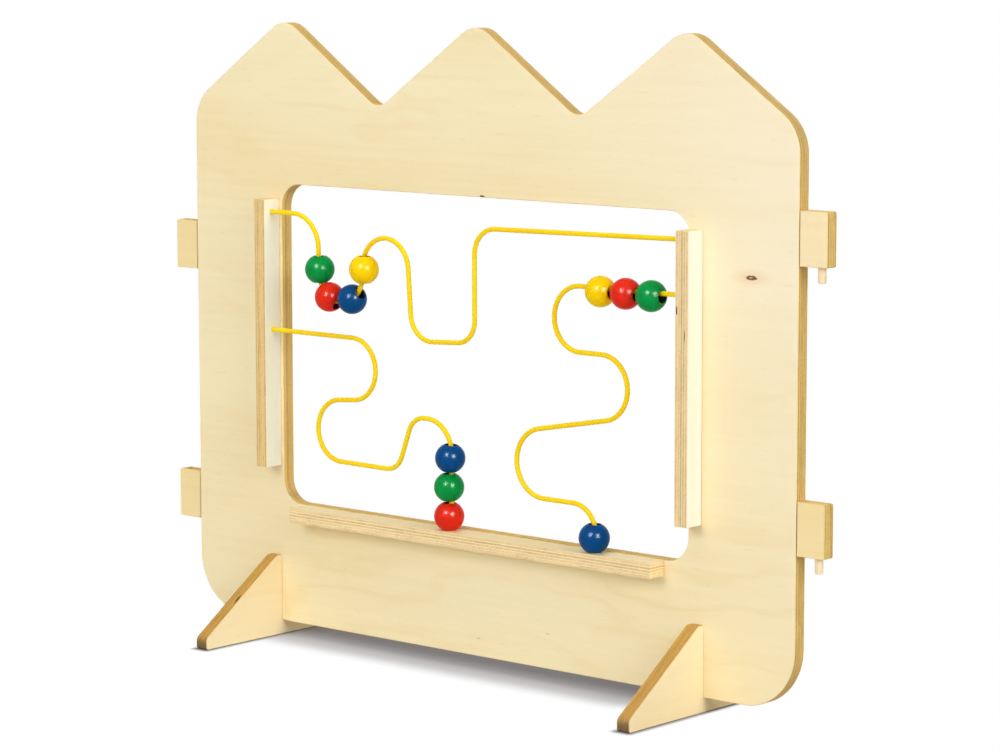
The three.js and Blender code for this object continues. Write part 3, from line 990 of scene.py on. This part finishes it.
def even_shading(piece: bpy.types.Object) -> None:
    """Keeps large flat faces flat beside their eased edges.

    Args:
        piece: the piece that is shaded.
    """
    weighted = piece.modifiers.new("even", "WEIGHTED_NORMAL")
    weighted.keep_sharp = True
    weighted.weight = 100


def dress(piece: bpy.types.Object, finish: bpy.types.Material, node: str) -> None:
    """Gives a piece its finish and sets it on the body of the node that it stands for.

    Args:
        piece: the piece.
        finish: its material.
        node: the CAD node that it replaces.
    """
    piece.data.materials.clear()
    piece.data.materials.append(finish)
    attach(piece, frame["nodes"][node]["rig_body"])
    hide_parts(node)
    log.info("%s: %d faces", piece.name, len(piece.data.polygons))


def middle(node: str) -> Vector:
    """Gives the middle of a CAD node's box."""
    low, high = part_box(node)
    return (low + high) / 2


def nodes_with(word: str) -> list[str]:
    """Lists the CAD nodes whose names hold a word, in the order of their names."""
    return sorted(name for name in frame["nodes"] if word in name)


@dataclass
class PlayPanel:
    """The gabled panel with its window, foot slots and screw holes."""

    slot: str = "birch_plywood"
    seed: float = 2.0
    # Painted light towards the face's upper right.
    bleach: float = 0.45
    # Painted light on the window's left edge.
    fresh: float = 0.65
    # Painted shade on the upward slopes of the gables.
    soak: float = 0.25
    easing: float = 1.0 * MM
    arc_step: float = 4.0
    gables: int = 3
    eave: float = 566 * MM
    apex_radius: float = 30 * MM
    valley_radius: float = 20 * MM
    shoulder_radius: float = 45 * MM
    bottom_radius: float = 60 * MM
    apex: float = 658 * MM
    window_low: Vector = Vector((-272 * MM, 144 * MM))
    window_high: Vector = Vector((272 * MM, 483 * MM))
    window_radius: float = 25 * MM
    lap: float = 50.3 * MM
    slot_half: float = 7.8 * MM
    countersink: float = 8.6 * MM
    countersink_depth: float = 2.6 * MM
    pilot_radius: float = 2.3 * MM
    pilot_depth: float = 8 * MM
    knots: tuple[Knot, ...] = (
        Knot(345 * MM, 425 * MM, 6.2 * MM, 2.1 * MM, 1.0),
        Knot(9 * MM, 484 * MM, 3.2 * MM, 1.3 * MM),
        Knot(95.3 * MM, 50.6 * MM, 2.2 * MM, 0.7 * MM, strength=0.25),
        Knot(3 * MM, 33.4 * MM, 2.6 * MM, 0.8 * MM, strength=0.25),
    )

    def outline(self) -> Loop:
        """Draws the panel's outline.

        Returns:
            The outline, anticlockwise from its lower left corner.
        """
        low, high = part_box("main_panel")
        corners: list[Corner] = [(low.x, low.z, self.bottom_radius), (high.x, low.z, self.bottom_radius)]
        corners.append((high.x, self.eave, self.shoulder_radius))
        width = (high.x - low.x) / self.gables
        for gable in range(self.gables, 0, -1):
            right = low.x + gable * width
            corners.append((right - width / 2, self.apex, self.apex_radius))
            radius = self.shoulder_radius if gable == 1 else self.valley_radius
            corners.append((right - width, self.eave, radius))
        return rounded(corners, self.arc_step)

    def window(self) -> Loop:
        """Draws the window.

        Returns:
            The outline, clockwise, so that the panel is on its left.
        """
        left, bottom = self.window_low
        right, top = self.window_high
        places = [(left, bottom), (left, top), (right, top), (right, bottom)]
        return rounded([(x, z, self.window_radius) for x, z in places], self.arc_step)

    def foot_slots(self) -> list[bpy.types.Object]:
        """Makes the cutters for the slots that the feet are pushed into.

        Returns:
            The cutters.
        """
        low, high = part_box("main_panel")
        made = []
        for foot in ("left_foot", "right_foot"):
            x = middle(foot).x
            corner = Vector((x - self.slot_half, low.y - MM, low.z - MM))
            made.append(box_cutter(corner, Vector((x + self.slot_half, high.y + MM, self.lap))))
        return made

    def countersinks(self, back: float) -> list[bpy.types.Object]:
        """Makes the cutters for the heads of the rail screws.

        Args:
            back: place of the panel's back.

        Returns:
            The cutters.
        """
        radius = self.countersink / 2
        pilot = self.pilot_radius
        profile = [(0, -self.pilot_depth), (pilot, -self.pilot_depth), (pilot, -self.countersink_depth),
                   (radius, 0), (radius, MM), (0, MM)]
        turn = Matrix.Rotation(-QUARTER_TURN, 4, "X")
        made = []
        for node in nodes_with("_screw_"):
            centre = middle(node)
            place = Matrix.Translation((centre.x, back, centre.z)) @ turn
            made.append(stand("cutter", lathe(profile, 32, "cutter"), place))
        return made

    def build(self) -> None:
        """Cuts the panel and finishes it."""
        low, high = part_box("main_panel")
        thickness = high.y - low.y
        board = Board(self.outline(), thickness, self.easing, window=self.window())
        piece = stand("play_panel", board.mesh("play_panel"), Matrix.Identity(4))
        cut_away(piece, self.countersinks(high.y) + self.foot_slots())
        even_shading(piece)
        finish = Plywood("panel_birch", Axis.Y, Axis.X, thickness, self.seed, Timber.PANEL, self.knots,
                         bleach=self.bleach, soak=self.soak, fresh=self.fresh)
        dress(piece, finish.material(), "main_panel")


@dataclass
class CrossFoot:
    """A foot that is halved over the panel."""

    side: str
    seed: float
    voids: tuple[Knot, ...] = ()
    slot: str = "birch_plywood"
    # Painted shade on the foot's lowest plies.
    grime: float = 0.7
    easing: float = 1.0 * MM
    tip: float = 12 * MM
    top_half: float = 15 * MM
    sole_radius: float = 3 * MM
    tip_radius: float = 7 * MM
    top_radius: float = 5 * MM
    lap: float = 50 * MM
    notch_half: float = 7.8 * MM

    def build(self) -> None:
        """Cuts the foot with its notch and finishes it."""
        node = f"{self.side}_foot"
        low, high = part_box(node)
        thickness = high.x - low.x
        corners = [(low.y, 0, self.sole_radius), (high.y, 0, self.sole_radius),
                   (high.y, self.tip, self.tip_radius), (self.top_half, high.z, self.top_radius),
                   (-self.top_half, high.z, self.top_radius), (low.y, self.tip, self.tip_radius)]
        board = Board(rounded(corners), thickness, self.easing, Axis.X)
        place = Matrix.Translation((middle(node).x, 0, 0))
        piece = stand(f"{self.side}_cross_foot", board.mesh(node), place)
        notch = box_cutter(Vector((low.x - MM, -self.notch_half, self.lap)),
                           Vector((high.x + MM, self.notch_half, high.z + MM)))
        cut_away(piece, [notch])
        even_shading(piece)
        finish = Plywood(f"{self.side}_foot_birch", Axis.X, Axis.Y, thickness, self.seed, Timber.FOOT,
                         voids=self.voids, grime=self.grime)
        dress(piece, finish.material(), node)


@dataclass
class WireRail:
    """A strip of plywood on edge that holds the ends of the wires."""

    node: str
    sheet: Axis
    grain: Axis
    seed: float
    timber: Timber
    voids: tuple[Knot, ...] = ()
    hollows: float = 1.0
    slot: str = "birch_plywood"
    easing: float = 0.7 * MM
    corner_step: float = 22.5
    socket: float = 5.5 * MM
    socket_depth: float = 20 * MM

    def sockets(self, wires: "WireSet") -> list[bpy.types.Object]:
        """Makes a cutter for each wire end in this rail.

        Args:
            wires: the three wires.

        Returns:
            The cutters.
        """
        low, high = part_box(self.node)
        made = []
        for point, outward in wires.ends():
            inside = all(low[axis] - MM < point[axis] < high[axis] + MM for axis in range(3))
            if inside:
                made.append(rod_cutter(self.socket / 2, point, point + outward * self.socket_depth))
        return made

    def build(self, wires: "WireSet") -> None:
        """Cuts the rail, drills it for its wires and finishes it.

        Args:
            wires: the three wires.
        """
        low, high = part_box(self.node)
        half = (high - low) / 2
        corners = rectangle(half, self.easing, self.easing)
        board = Board(rounded(corners, self.corner_step), 2 * half.y, self.easing)
        piece = stand(f"{self.node}_strip", board.mesh(self.node), Matrix.Translation(middle(self.node)))
        cut_away(piece, self.sockets(wires))
        even_shading(piece)
        finish = Plywood(f"{self.node}_birch", self.sheet, self.grain, 2 * half[self.sheet.value], self.seed,
                         self.timber, voids=self.voids, hollows=self.hollows)
        dress(piece, finish.material(), self.node)


@dataclass
class LinkBlock:
    """A block on the panel's side edge, with a pin below it or a socket in its top."""

    side: str
    level: str
    seed: float
    timber: Timber = Timber.BLOCK
    slot: str = "birch_plywood"
    pin_slot: str = "beech_dowel"
    easing: float = 0.9 * MM
    corner: float = 2 * MM
    seat_corner: float = 0.4 * MM
    socket_place: float = -421.5 * MM
    socket_radius: float = 4.5 * MM
    socket_depth: float = 15.4 * MM
    pin_radius: float = 4 * MM
    pin_chamfer: float = 1 * MM
    pin_steps: int = 5
    pin_sides: int = 40

    def build(self) -> None:
        """Cuts the block and finishes it, with a socket on the left side and a pin on the right."""
        node = f"{self.side}_{self.level}_link_block"
        low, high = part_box(node)
        half = (high - low) / 2
        on_right = self.side == "right"
        radii = (self.seat_corner, self.corner) if on_right else (self.corner, self.seat_corner)
        board = Board(rounded(rectangle(half, *radii)), 2 * half.y, self.easing)
        name = f"{self.side}_{self.level}_block"
        piece = stand(name, board.mesh(node), Matrix.Translation(middle(node)))
        if not on_right:
            mouth = Vector((self.socket_place, 0, high.z))
            floor = mouth - Vector((0, 0, self.socket_depth))
            cut_away(piece, [rod_cutter(self.socket_radius, floor, mouth + Vector((0, 0, MM)))])
        even_shading(piece)
        finish = Plywood(f"{name}_birch", Axis.Y, Axis.X, 2 * half.y, self.seed, self.timber)
        dress(piece, finish.material(), node)
        if on_right:
            self.build_pin()

    def build_pin(self) -> None:
        """Turns the pin below the block and finishes it."""
        node = f"{self.side}_{self.level}_link_pin"
        low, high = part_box(node)
        radius = self.pin_radius
        length = high.z - low.z
        soft = self.pin_chamfer
        turns = [QUARTER_TURN * step / self.pin_steps for step in range(self.pin_steps + 1)]
        arc = [(radius - soft + soft * math.sin(turn), soft - soft * math.cos(turn)) for turn in turns]
        profile = [(0, 0), *arc, (radius, length - soft), (radius - soft, length), (0, length)]
        centre = middle(node)
        place = Matrix.Translation((centre.x, centre.y, low.z))
        piece = stand(f"{self.side}_{self.level}_pin", lathe(profile, self.pin_sides, node), place)
        dress(piece, Beech(f"{self.level}_pin_beech", self.seed).material(), node)


@dataclass(frozen=True)
class Bend:
    """One step of a bending schedule: a straight run, then a turn, anticlockwise from the front.

    Runs and radii are in millimetres, and turns in degrees.
    """

    run: float
    radius: float
    turn: float


def ahead(angle: float) -> Vector:
    """Gives the direction of a heading in the plane of the wires."""
    return Vector((math.cos(angle), 0, math.sin(angle)))


@dataclass
class BentWire:
    """A coated wire, made from its bending schedule."""

    node: str
    start: Vector
    heading: float
    bends: tuple[Bend, ...]
    seed: float
    last_run: float = 0.0
    tenon: float = 11.8 * MM
    radius: float = 2.5 * MM
    sides: int = 20
    step: float = 4.0
    slot: str = "wire_coating"

    def stations(self) -> list[tuple[Vector, float]]:
        """Walks the schedule.

        Returns:
            The points along the wire's middle, each with its heading.
        """
        heading = math.radians(self.heading)
        point = self.start - ahead(heading) * self.tenon
        made = [(point.copy(), heading)]
        for index, bend in enumerate(self.bends):
            point += ahead(heading) * (bend.run * MM + (self.tenon if index == 0 else 0))
            made.append((point.copy(), heading))
            side = math.copysign(QUARTER_TURN, bend.turn)
            centre = point + ahead(heading + side) * (bend.radius * MM)
            count = math.ceil(abs(bend.turn) / self.step)
            for _ in range(count):
                heading += math.radians(bend.turn) / count
                point = centre - ahead(heading + side) * (bend.radius * MM)
                made.append((point.copy(), heading))
        made.append((point + ahead(heading) * (self.last_run + self.tenon), heading))
        return made

    def ends(self) -> list[tuple[Vector, Vector]]:
        """Finds the two buried ends.

        Returns:
            Each end with the direction out of its rail.
        """
        path = self.stations()
        (first, first_heading), (last, last_heading) = path[0], path[-1]
        return [(first, ahead(first_heading)), (last, -ahead(last_heading))]

    def build(self) -> bpy.types.Object:
        """Sweeps the wire along its path and finishes it.

        Returns:
            The wire.
        """
        shape = bmesh.new()
        depth = Vector((0, 1, 0))
        rings = []
        for point, heading in self.stations():
            up = Vector((-math.sin(heading), 0, math.cos(heading)))
            ways = [up * math.cos(turn) + depth * math.sin(turn) for turn in round_turns(self.sides)]
            rings.append([shape.verts.new(point + way * self.radius) for way in ways])
        join_rings(shape, zip(rings, rings[1:]), self.sides)
        shape.faces.new(rings[0])
        shape.faces.new(rings[-1])
        piece = stand(f"{self.node}_bent", finished(shape, self.node), Matrix.Identity(4))
        dress(piece, WireCoating(f"{self.node}_coat", self.seed).material(), self.node)
        return piece


@dataclass
class WireSet:
    """The three wires that cross the window, with their starts measured down from the rails' tops."""

    upper_drop: float = 13 * MM
    left_drop: float = 137.5 * MM
    right_drop: float = 62.6 * MM
    left_swing: float = 32.384
    right_swing: float = 32.459
    wires: list[BentWire] = field(default_factory=list)

    def __post_init__(self) -> None:
        """Reads the rails' places and writes out the bending schedules."""
        left_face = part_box("left_rail")[1].x
        right_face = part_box("right_rail")[0].x
        rail_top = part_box("left_rail")[1].z
        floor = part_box("bottom_rail")[1].z
        depth = middle("left_rail").y
        left_turn, right_turn = self.left_swing, self.right_swing
        upper = (Bend(31.9, 36, -90), Bend(21, 31.5, 180), Bend(6.8, 31.8, -176.2), Bend(45.8, 28, 89.2),
                 Bend(34.8, 24, 87), Bend(66.7, 27, -89))
        left = (Bend(115.6, left_turn, -175), Bend(23.2, left_turn, 174.5), Bend(65.5, 22, 70),
                Bend(30.7, 22, -69.5), Bend(4.3, 33, -90))
        right = (Bend(126.3, right_turn, 180), Bend(27.6, right_turn, -169.4), Bend(87.6, 35, 169.4),
                 Bend(38, 29, -90))
        self.wires = [
            BentWire("upper_wire", Vector((left_face, depth, rail_top - self.upper_drop)), 0, upper, 1.0),
            BentWire("left_wire", Vector((left_face, depth, rail_top - self.left_drop)), 0, left, 4.0),
            BentWire("right_wire", Vector((right_face, depth, rail_top - self.right_drop)), 180, right, 7.0),
        ]
        for wire in self.wires:
            point, heading = wire.stations()[-1]
            if wire.node == "upper_wire":
                wire.last_run = (right_face - point.x) / math.cos(heading) + wire.tenon
            else:
                wire.last_run = point.z - floor + wire.tenon

    def ends(self) -> list[tuple[Vector, Vector]]:
        """Lists the buried ends of all three wires."""
        return [end for wire in self.wires for end in wire.ends()]

    def build(self) -> list[bpy.types.Object]:
        """Makes each wire and hands them back."""
        return [wire.build() for wire in self.wires]


class BeadColour(Enum):
    """The beads' lacquers: the coat, and the same where it lies thicker."""

    RED = (srgb(231, 46, 25), srgb(221, 37, 18))
    BLUE = (srgb(0, 73, 132), srgb(0, 65, 120))
    GREEN = (srgb(0, 149, 67), srgb(0, 139, 59))
    YELLOW = (srgb(253, 211, 0), srgb(250, 203, 0))


@dataclass
class Bead:
    """A turned ball, bored for its wire."""

    node: str
    seed: float
    radius: float = 15.5 * MM
    bore: float = 6.25 * MM
    rim: float = 0.7 * MM
    sides: int = 64
    steps: int = 40
    rim_steps: int = 5
    search_steps: int = 720

    def profile(self) -> list[Point]:
        """Draws the ball, its rounded rims and its bore.

        Returns:
            One closed outline, as radius and height.
        """
        mouth = self.bore + self.rim
        start = math.asin(mouth / self.radius)
        turns = [start + (math.pi - 2 * start) * step / self.steps for step in range(self.steps + 1)]
        ball = [(self.radius * math.sin(t), -self.radius * math.cos(t)) for t in turns]
        flat = -ball[0][1]
        bends = [QUARTER_TURN * step / self.rim_steps for step in range(1, self.rim_steps + 1)]
        top = [(mouth - self.rim * math.sin(t), flat - self.rim * (1 - math.cos(t))) for t in bends]
        low = [(radius, -height) for radius, height in reversed(top)]
        return [*ball, *top, *low, ball[0]]

    def bore_axis(self) -> Vector:
        """Finds the way that the CAD bead's bore points.

        Returns:
            The direction in the wires' plane in which its points spread most unlike the other two.
        """
        centre = middle(self.node)
        points = [vertex.co - centre for vertex in frame["nodes"][self.node].data.vertices]
        spread = Matrix([[sum(p[i] * p[j] for p in points) for j in range(3)] for i in range(3)])
        total = spread[0][0] + spread[1][1] + spread[2][2]

        def odds(way: Vector) -> float:
            """Gives how far the spread along a direction is from the mean at right angles to it."""
            along = (spread @ way).dot(way)
            return abs(along - (total - along) / 2)
        turns = [math.pi * step / self.search_steps for step in range(self.search_steps)]
        return max((Vector((math.sin(t), 0, math.cos(t))) for t in turns), key=odds)

    def build(self) -> None:
        """Turns the bead, threads it where the CAD one is and lacquers it."""
        colour = BeadColour[self.node.split("_")[2].upper()]
        turn = self.bore_axis().to_track_quat("Z", "Y").to_matrix().to_4x4()
        mesh = lathe(self.profile(), self.sides, self.node)
        piece = stand(self.node.replace("_wire", ""), mesh, Matrix.Translation(middle(self.node)) @ turn)
        coat, deep = colour.value
        finish = Lacquer(f"{self.node}_lacquer", coat, deep, self.bore, self.seed)
        dress(piece, finish.material(), self.node)


@dataclass
class RailScrew:
    """A countersunk screw with a cross recess, seen from behind."""

    slot: str = "zinc_steel"
    length: float = 30 * MM
    shank: float = 2 * MM
    neck: float = 1.7 * MM
    ridges: int = 22
    ridge_pitch: float = 0.9 * MM
    ridge_depth: float = 0.35 * MM
    head: float = 4 * MM
    head_height: float = 2.6 * MM
    head_edge: float = 0.25 * MM
    crown: float = 0.05 * MM
    crown_inset: float = 0.1 * MM
    crown_width: float = 0.5 * MM
    point: float = 5 * MM
    recess: float = 2.3 * MM
    recess_taper: float = 0.35
    recess_width: float = 0.85 * MM
    recess_depth: float = 1.7 * MM
    recess_proud: float = 0.5 * MM
    recess_easing: float = 0.1 * MM
    sides: int = 36
    turn_step: float = 0.7

    def blank(self) -> bpy.types.Mesh:
        """Turns the screw, with a slight crown round its head and ridges for its thread.

        Returns:
            The mesh, standing on its point.
        """
        top = self.length
        thread = []
        for step in range(self.ridges):
            cut = self.ridge_depth if step % 2 else 0
            thread.append((self.shank - cut, self.point + step * self.ridge_pitch))
        profile = [(0, 0), *thread, (self.neck, top - self.head_height), (self.head, top - self.head_edge),
                   (self.head - self.crown_inset, top - self.crown), (self.head - self.crown_width, top),
                   (0, top)]
        return lathe(profile, self.sides, "rail_screw")

    def recesses(self) -> list[bpy.types.Object]:
        """Makes the two crossed cutters for the driver's recess.

        Returns:
            The cutters.
        """
        wide, deep, proud = self.recess, self.recess_depth, self.recess_proud
        narrow = wide * self.recess_taper
        flat = [(-wide, 0), (-narrow, -deep), (narrow, -deep), (wide, 0), (wide, proud), (-wide, proud)]
        made = []
        for turn in (0, QUARTER_TURN):
            blade = Board(flat, self.recess_width, self.recess_easing).mesh("blade")
            place = Matrix.Translation((0, 0, self.length)) @ Matrix.Rotation(turn, 4, "Z")
            made.append(stand("cutter", blade, place))
        return made

    def build(self) -> None:
        """Makes one screw and sets a copy at each CAD screw."""
        piece = stand("screw_blank", self.blank(), Matrix.Identity(4))
        cut_away(piece, self.recesses())
        blank = piece.data
        bpy.data.objects.remove(piece)
        finish = Zinc("screw_zinc").material()
        lying = Matrix.Rotation(-QUARTER_TURN, 4, "X")
        for index, node in enumerate(nodes_with("_screw_")):
            low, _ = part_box(node)
            centre = middle(node)
            turn = lying @ Matrix.Rotation(index * self.turn_step, 4, "Z")
            place = Matrix.Translation((centre.x, low.y, centre.z)) @ turn
            dress(stand(node.replace("screw", "fixing"), blank.copy(), place), finish, node)


@dataclass
class BlockDowels:
    """The hidden dowels of the link blocks, which stay as their CAD solids."""

    seed: float = 11.0

    def dress(self) -> None:
        """Gives every dowel its wood."""
        finish = Beech("dowel_beech", self.seed).material()
        for name in nodes_with("_dowel_"):
            materials = frame["nodes"][name].data.materials
            materials.clear()
            materials.append(finish)
            log.info("%s keeps its solid", name)


@dataclass(frozen=True)
class Softbox:
    """A lamp that faces the object, in degrees, metres and watts.

    Its azimuth runs from the panel's front towards its right side, and its elevation from the floor. A glint
    is only mirrored by glossy surfaces, and any other lamp only lights matt ones.
    """

    name: str
    azimuth: float
    elevation: float
    distance: float
    width: float
    height: float
    power: float
    glint: bool = False

    def hang(self, aim: Vector) -> bpy.types.Object:
        """Hangs the lamp.

        Args:
            aim: the point that it faces.

        Returns:
            The lamp.
        """
        data = bpy.data.lights.new(self.name, "AREA")
        data.shape = "RECTANGLE"
        data.size = self.width
        data.size_y = self.height
        data.energy = self.power
        made = bpy.data.objects.new(self.name, data)
        around, above = math.radians(self.azimuth), math.radians(self.elevation)
        level = Vector((math.sin(around), -math.cos(around), 0)) * math.cos(above)
        way = level + Vector((0, 0, math.sin(above)))
        turn = way.to_track_quat("Z", "Y").to_matrix().to_4x4()
        made.matrix_world = Matrix.Translation(aim + way * self.distance) @ turn
        made.visible_camera = False
        made.visible_glossy = self.glint
        made.visible_diffuse = not self.glint
        bpy.context.scene.collection.objects.link(made)
        return made


@dataclass
class Studio:
    """Pale floor, soft light and the camera of the photograph."""

    camera_place: Vector = Vector((2279.2 * MM, -2585.3 * MM, 760.4 * MM))
    yaw: float = 41.073
    pitch: float = 7.566
    roll: float = -0.0642
    focal_pixels: float = 3445.5
    picture_width: float = 1000
    sensor: float = 36.0
    view_depth: float = 100
    floor_size: float = 40.0
    floor_squares: int = 8
    floor_lit: Colour = (0.7, 0.7, 0.71, 1.0)
    # Grey that the camera sees near the panel: a painted shadow, darker than the lamps' own shadow.
    floor_shown: Colour = (0.31, 0.303, 0.334, 1.0)
    shadow_across: float = -40 * MM
    shadow_half_width: float = 230 * MM
    shadow_middle: float = 44 * MM
    shadow_half_depth: float = 10 * MM
    shadow_fade: float = 74 * MM
    shadow_faded: float = 0.45
    rim_start: float = 55 * MM
    rim_end: float = 96 * MM
    foot_fade: float = 9 * MM
    sky_front: float = 0.45
    sky_back: float = 0.18
    sky_blend: float = 0.6
    aim: Vector = Vector((0, 0, 0.3))
    lamps: tuple[Softbox, ...] = (
        Softbox("overhead", 5, 85, 3.6, 2.7, 2.2, 39),
        Softbox("right_key", 77, 25, 7.0, 3.7, 2.8, 188),
        Softbox("front_fill", -8, 25, 6.0, 3.0, 3.0, 124),
        Softbox("back_fill", 200, 30, 6.0, 3.0, 3.0, 100),
        Softbox("front_glint", 10, 30, 3.0, 1.2, 1.25, 340, glint=True),
        Softbox("right_glint", 68, 20, 3.0, 1.2, 1.25, 370, glint=True),
    )
    matt: list[bpy.types.Object] = field(default_factory=list)
    glints: list[bpy.types.Object] = field(default_factory=list)

    def camera(self) -> None:
        """Stands the camera where the photograph was taken."""
        data = bpy.data.cameras.new("camera")
        data.sensor_width = self.sensor
        data.lens = self.focal_pixels * self.sensor / self.picture_width
        data.clip_end = self.view_depth
        made = bpy.data.objects.new("camera", data)
        turn = Matrix.Rotation(math.radians(self.yaw), 4, "Z")
        turn = turn @ Matrix.Rotation(math.radians(90 - self.pitch), 4, "X")
        turn = turn @ Matrix.Rotation(math.radians(self.roll), 4, "Z")
        made.matrix_world = Matrix.Translation(self.camera_place) @ turn
        bpy.context.scene.collection.objects.link(made)
        bpy.context.scene.camera = made

    @staticmethod
    def seen(graph: Graph, mirrored: Number = 1.0) -> Signal:
        """Tells the rays that show the background from those that only light the object.

        Args:
            graph: the tree.
            mirrored: share of the background that glossy surfaces show.

        Returns:
            1 for rays that show the background.
        """
        path = graph.node("ShaderNodeLightPath").socket.node
        names = ("Is Camera Ray", "Is Glossy Ray", "Is Transmission Ray")
        camera, glossy, through = (Signal(graph, path.outputs[name]) for name in names)
        return camera.larger(glossy * mirrored).larger(through)

    def shadow_clear(self, graph: Graph) -> Signal:
        """Tells the open floor from the floor under the panel and round its feet, where a shadow is painted.

        Args:
            graph: the tree.

        Returns:
            1 on the open floor, and 0 where the painted shadow is full.
        """
        across, back, _ = graph.place()

        def outside(place: Signal, half: float) -> Signal:
            """Gives how far a place is beyond a half width, squared."""
            return (abs(place) - half).larger(0) ** 2
        under = outside(across - self.shadow_across, self.shadow_half_width)
        far = (under + outside(back - self.shadow_middle, self.shadow_half_depth)).root()
        soft = far.rise(0.0, self.shadow_fade) * self.shadow_faded
        rim = far.rise(self.rim_start, self.rim_end) * (1 - self.shadow_faded)
        low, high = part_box("right_foot")
        beside = abs(across) - (low.x + high.x) / 2
        foot = outside(beside, (high.x - low.x) / 2) + outside(back, high.y)
        return (soft + rim) * foot.root().rise(0.0, self.foot_fade)

    def floor(self) -> None:
        """Lays the floor, which shows white away from the panel, and near it a painted shadow over the
        shadow that the lamps cast.
        """
        shape = bmesh.new()
        squares = self.floor_squares
        bmesh.ops.create_grid(shape, x_segments=squares, y_segments=squares, size=self.floor_size / 2)
        piece = stand("studio_floor", finished(shape, "studio_floor"), Matrix.Identity(4))
        made = bpy.data.materials.new("studio_floor")
        made.use_nodes = True
        graph = Graph(made.node_tree)
        seen = self.seen(graph)
        # Painted shadow: the camera sees a darker floor near the panel and its feet.
        colour = graph.mix(seen, self.floor_lit, self.floor_shown)
        paper = graph.node("ShaderNodeBsdfDiffuse", None, {"Color": colour})
        glow = graph.node("ShaderNodeEmission", None, {"Color": WHITE, "Strength": 1.0})
        share = seen * self.shadow_clear(graph)
        shown = graph.node("ShaderNodeMixShader", None, {0: share, 1: paper, 2: glow})
        graph.node("ShaderNodeOutputMaterial", None, {"Surface": shown})
        piece.data.materials.append(made)
        self.matt.append(piece)

    def world(self) -> None:
        """Sets an even sky that shows as white."""
        made = bpy.data.worlds.new("studio_sky")
        made.use_nodes = True
        graph = Graph(made.node_tree)
        across, back, _ = graph.split(graph.node("ShaderNodeTexCoord", output="Generated"))
        turn = math.radians(self.yaw)
        facing = across * math.sin(turn) - back * math.cos(turn)
        in_front = facing.rise(-self.sky_blend, self.sky_blend)
        room = in_front * (self.sky_front - self.sky_back) + self.sky_back
        white = self.seen(graph, 1 - in_front)
        strength = white + (1 - white) * room
        sky = graph.node("ShaderNodeBackground", None, {"Color": WHITE, "Strength": strength})
        graph.node("ShaderNodeOutputWorld", None, {"Surface": sky})
        bpy.context.scene.world = made

    def keep_glints_off(self, thin: Sequence[bpy.types.Object]) -> None:
        """Keeps the glint lamps off the matt floor and off thin pieces, where they only make grain.

        Args:
            thin: the thin pieces.
        """
        spared = bpy.data.collections.new("without_glints")
        for piece in (*self.matt, *thin):
            spared.objects.link(piece)
        for member in spared.collection_objects:
            member.light_linking.link_state = "EXCLUDE"
        for lamp in self.glints:
            lamp.light_linking.receiver_collection = spared

    def build(self) -> None:
        """Sets up the whole studio."""
        self.camera()
        self.floor()
        self.world()
        for lamp in self.lamps:
            made = lamp.hang(self.aim)
            if lamp.glint:
                self.glints.append(made)
        bpy.context.scene.view_settings.view_transform = "Standard"


def main() -> None:
    """Builds the studio and every piece."""
    logging.basicConfig(level=logging.INFO, format="%(message)s")
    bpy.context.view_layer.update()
    studio = Studio()
    studio.build()
    PlayPanel().build()
    slope_void = Knot(-71 * MM, 4 * MM, 5 * MM, 1.1 * MM)
    CrossFoot("left", 21.0, (slope_void,)).build()
    CrossFoot("right", 27.0).build()
    wires = WireSet()
    studio.keep_glints_off(wires.build())
    rail_voids = (Knot(66 * MM, -6 * MM, 4 * MM, 0.8 * MM), Knot(42 * MM, 3.5 * MM, 6 * MM, 0.5 * MM))
    WireRail("left_rail", Axis.X, Axis.Z, 33.0, Timber.LEFT_RAIL).build(wires)
    WireRail("right_rail", Axis.X, Axis.Z, 38.0, Timber.RIGHT_RAIL, rail_voids).build(wires)
    WireRail("bottom_rail", Axis.Z, Axis.X, 43.0, Timber.BOTTOM_RAIL, hollows=0.0).build(wires)
    LinkBlock("left", "upper", 51.0).build()
    LinkBlock("left", "lower", 56.0).build()
    LinkBlock("right", "upper", 61.0, Timber.PALE_BLOCK).build()
    LinkBlock("right", "lower", 66.0).build()
    for index, node in enumerate(nodes_with("_bead")):
        Bead(node, 3.0 * index).build()
    RailScrew().build()
    BlockDowels().dress()
    bpy.context.view_layer.update()


if __name__ == "__main__":
    main()
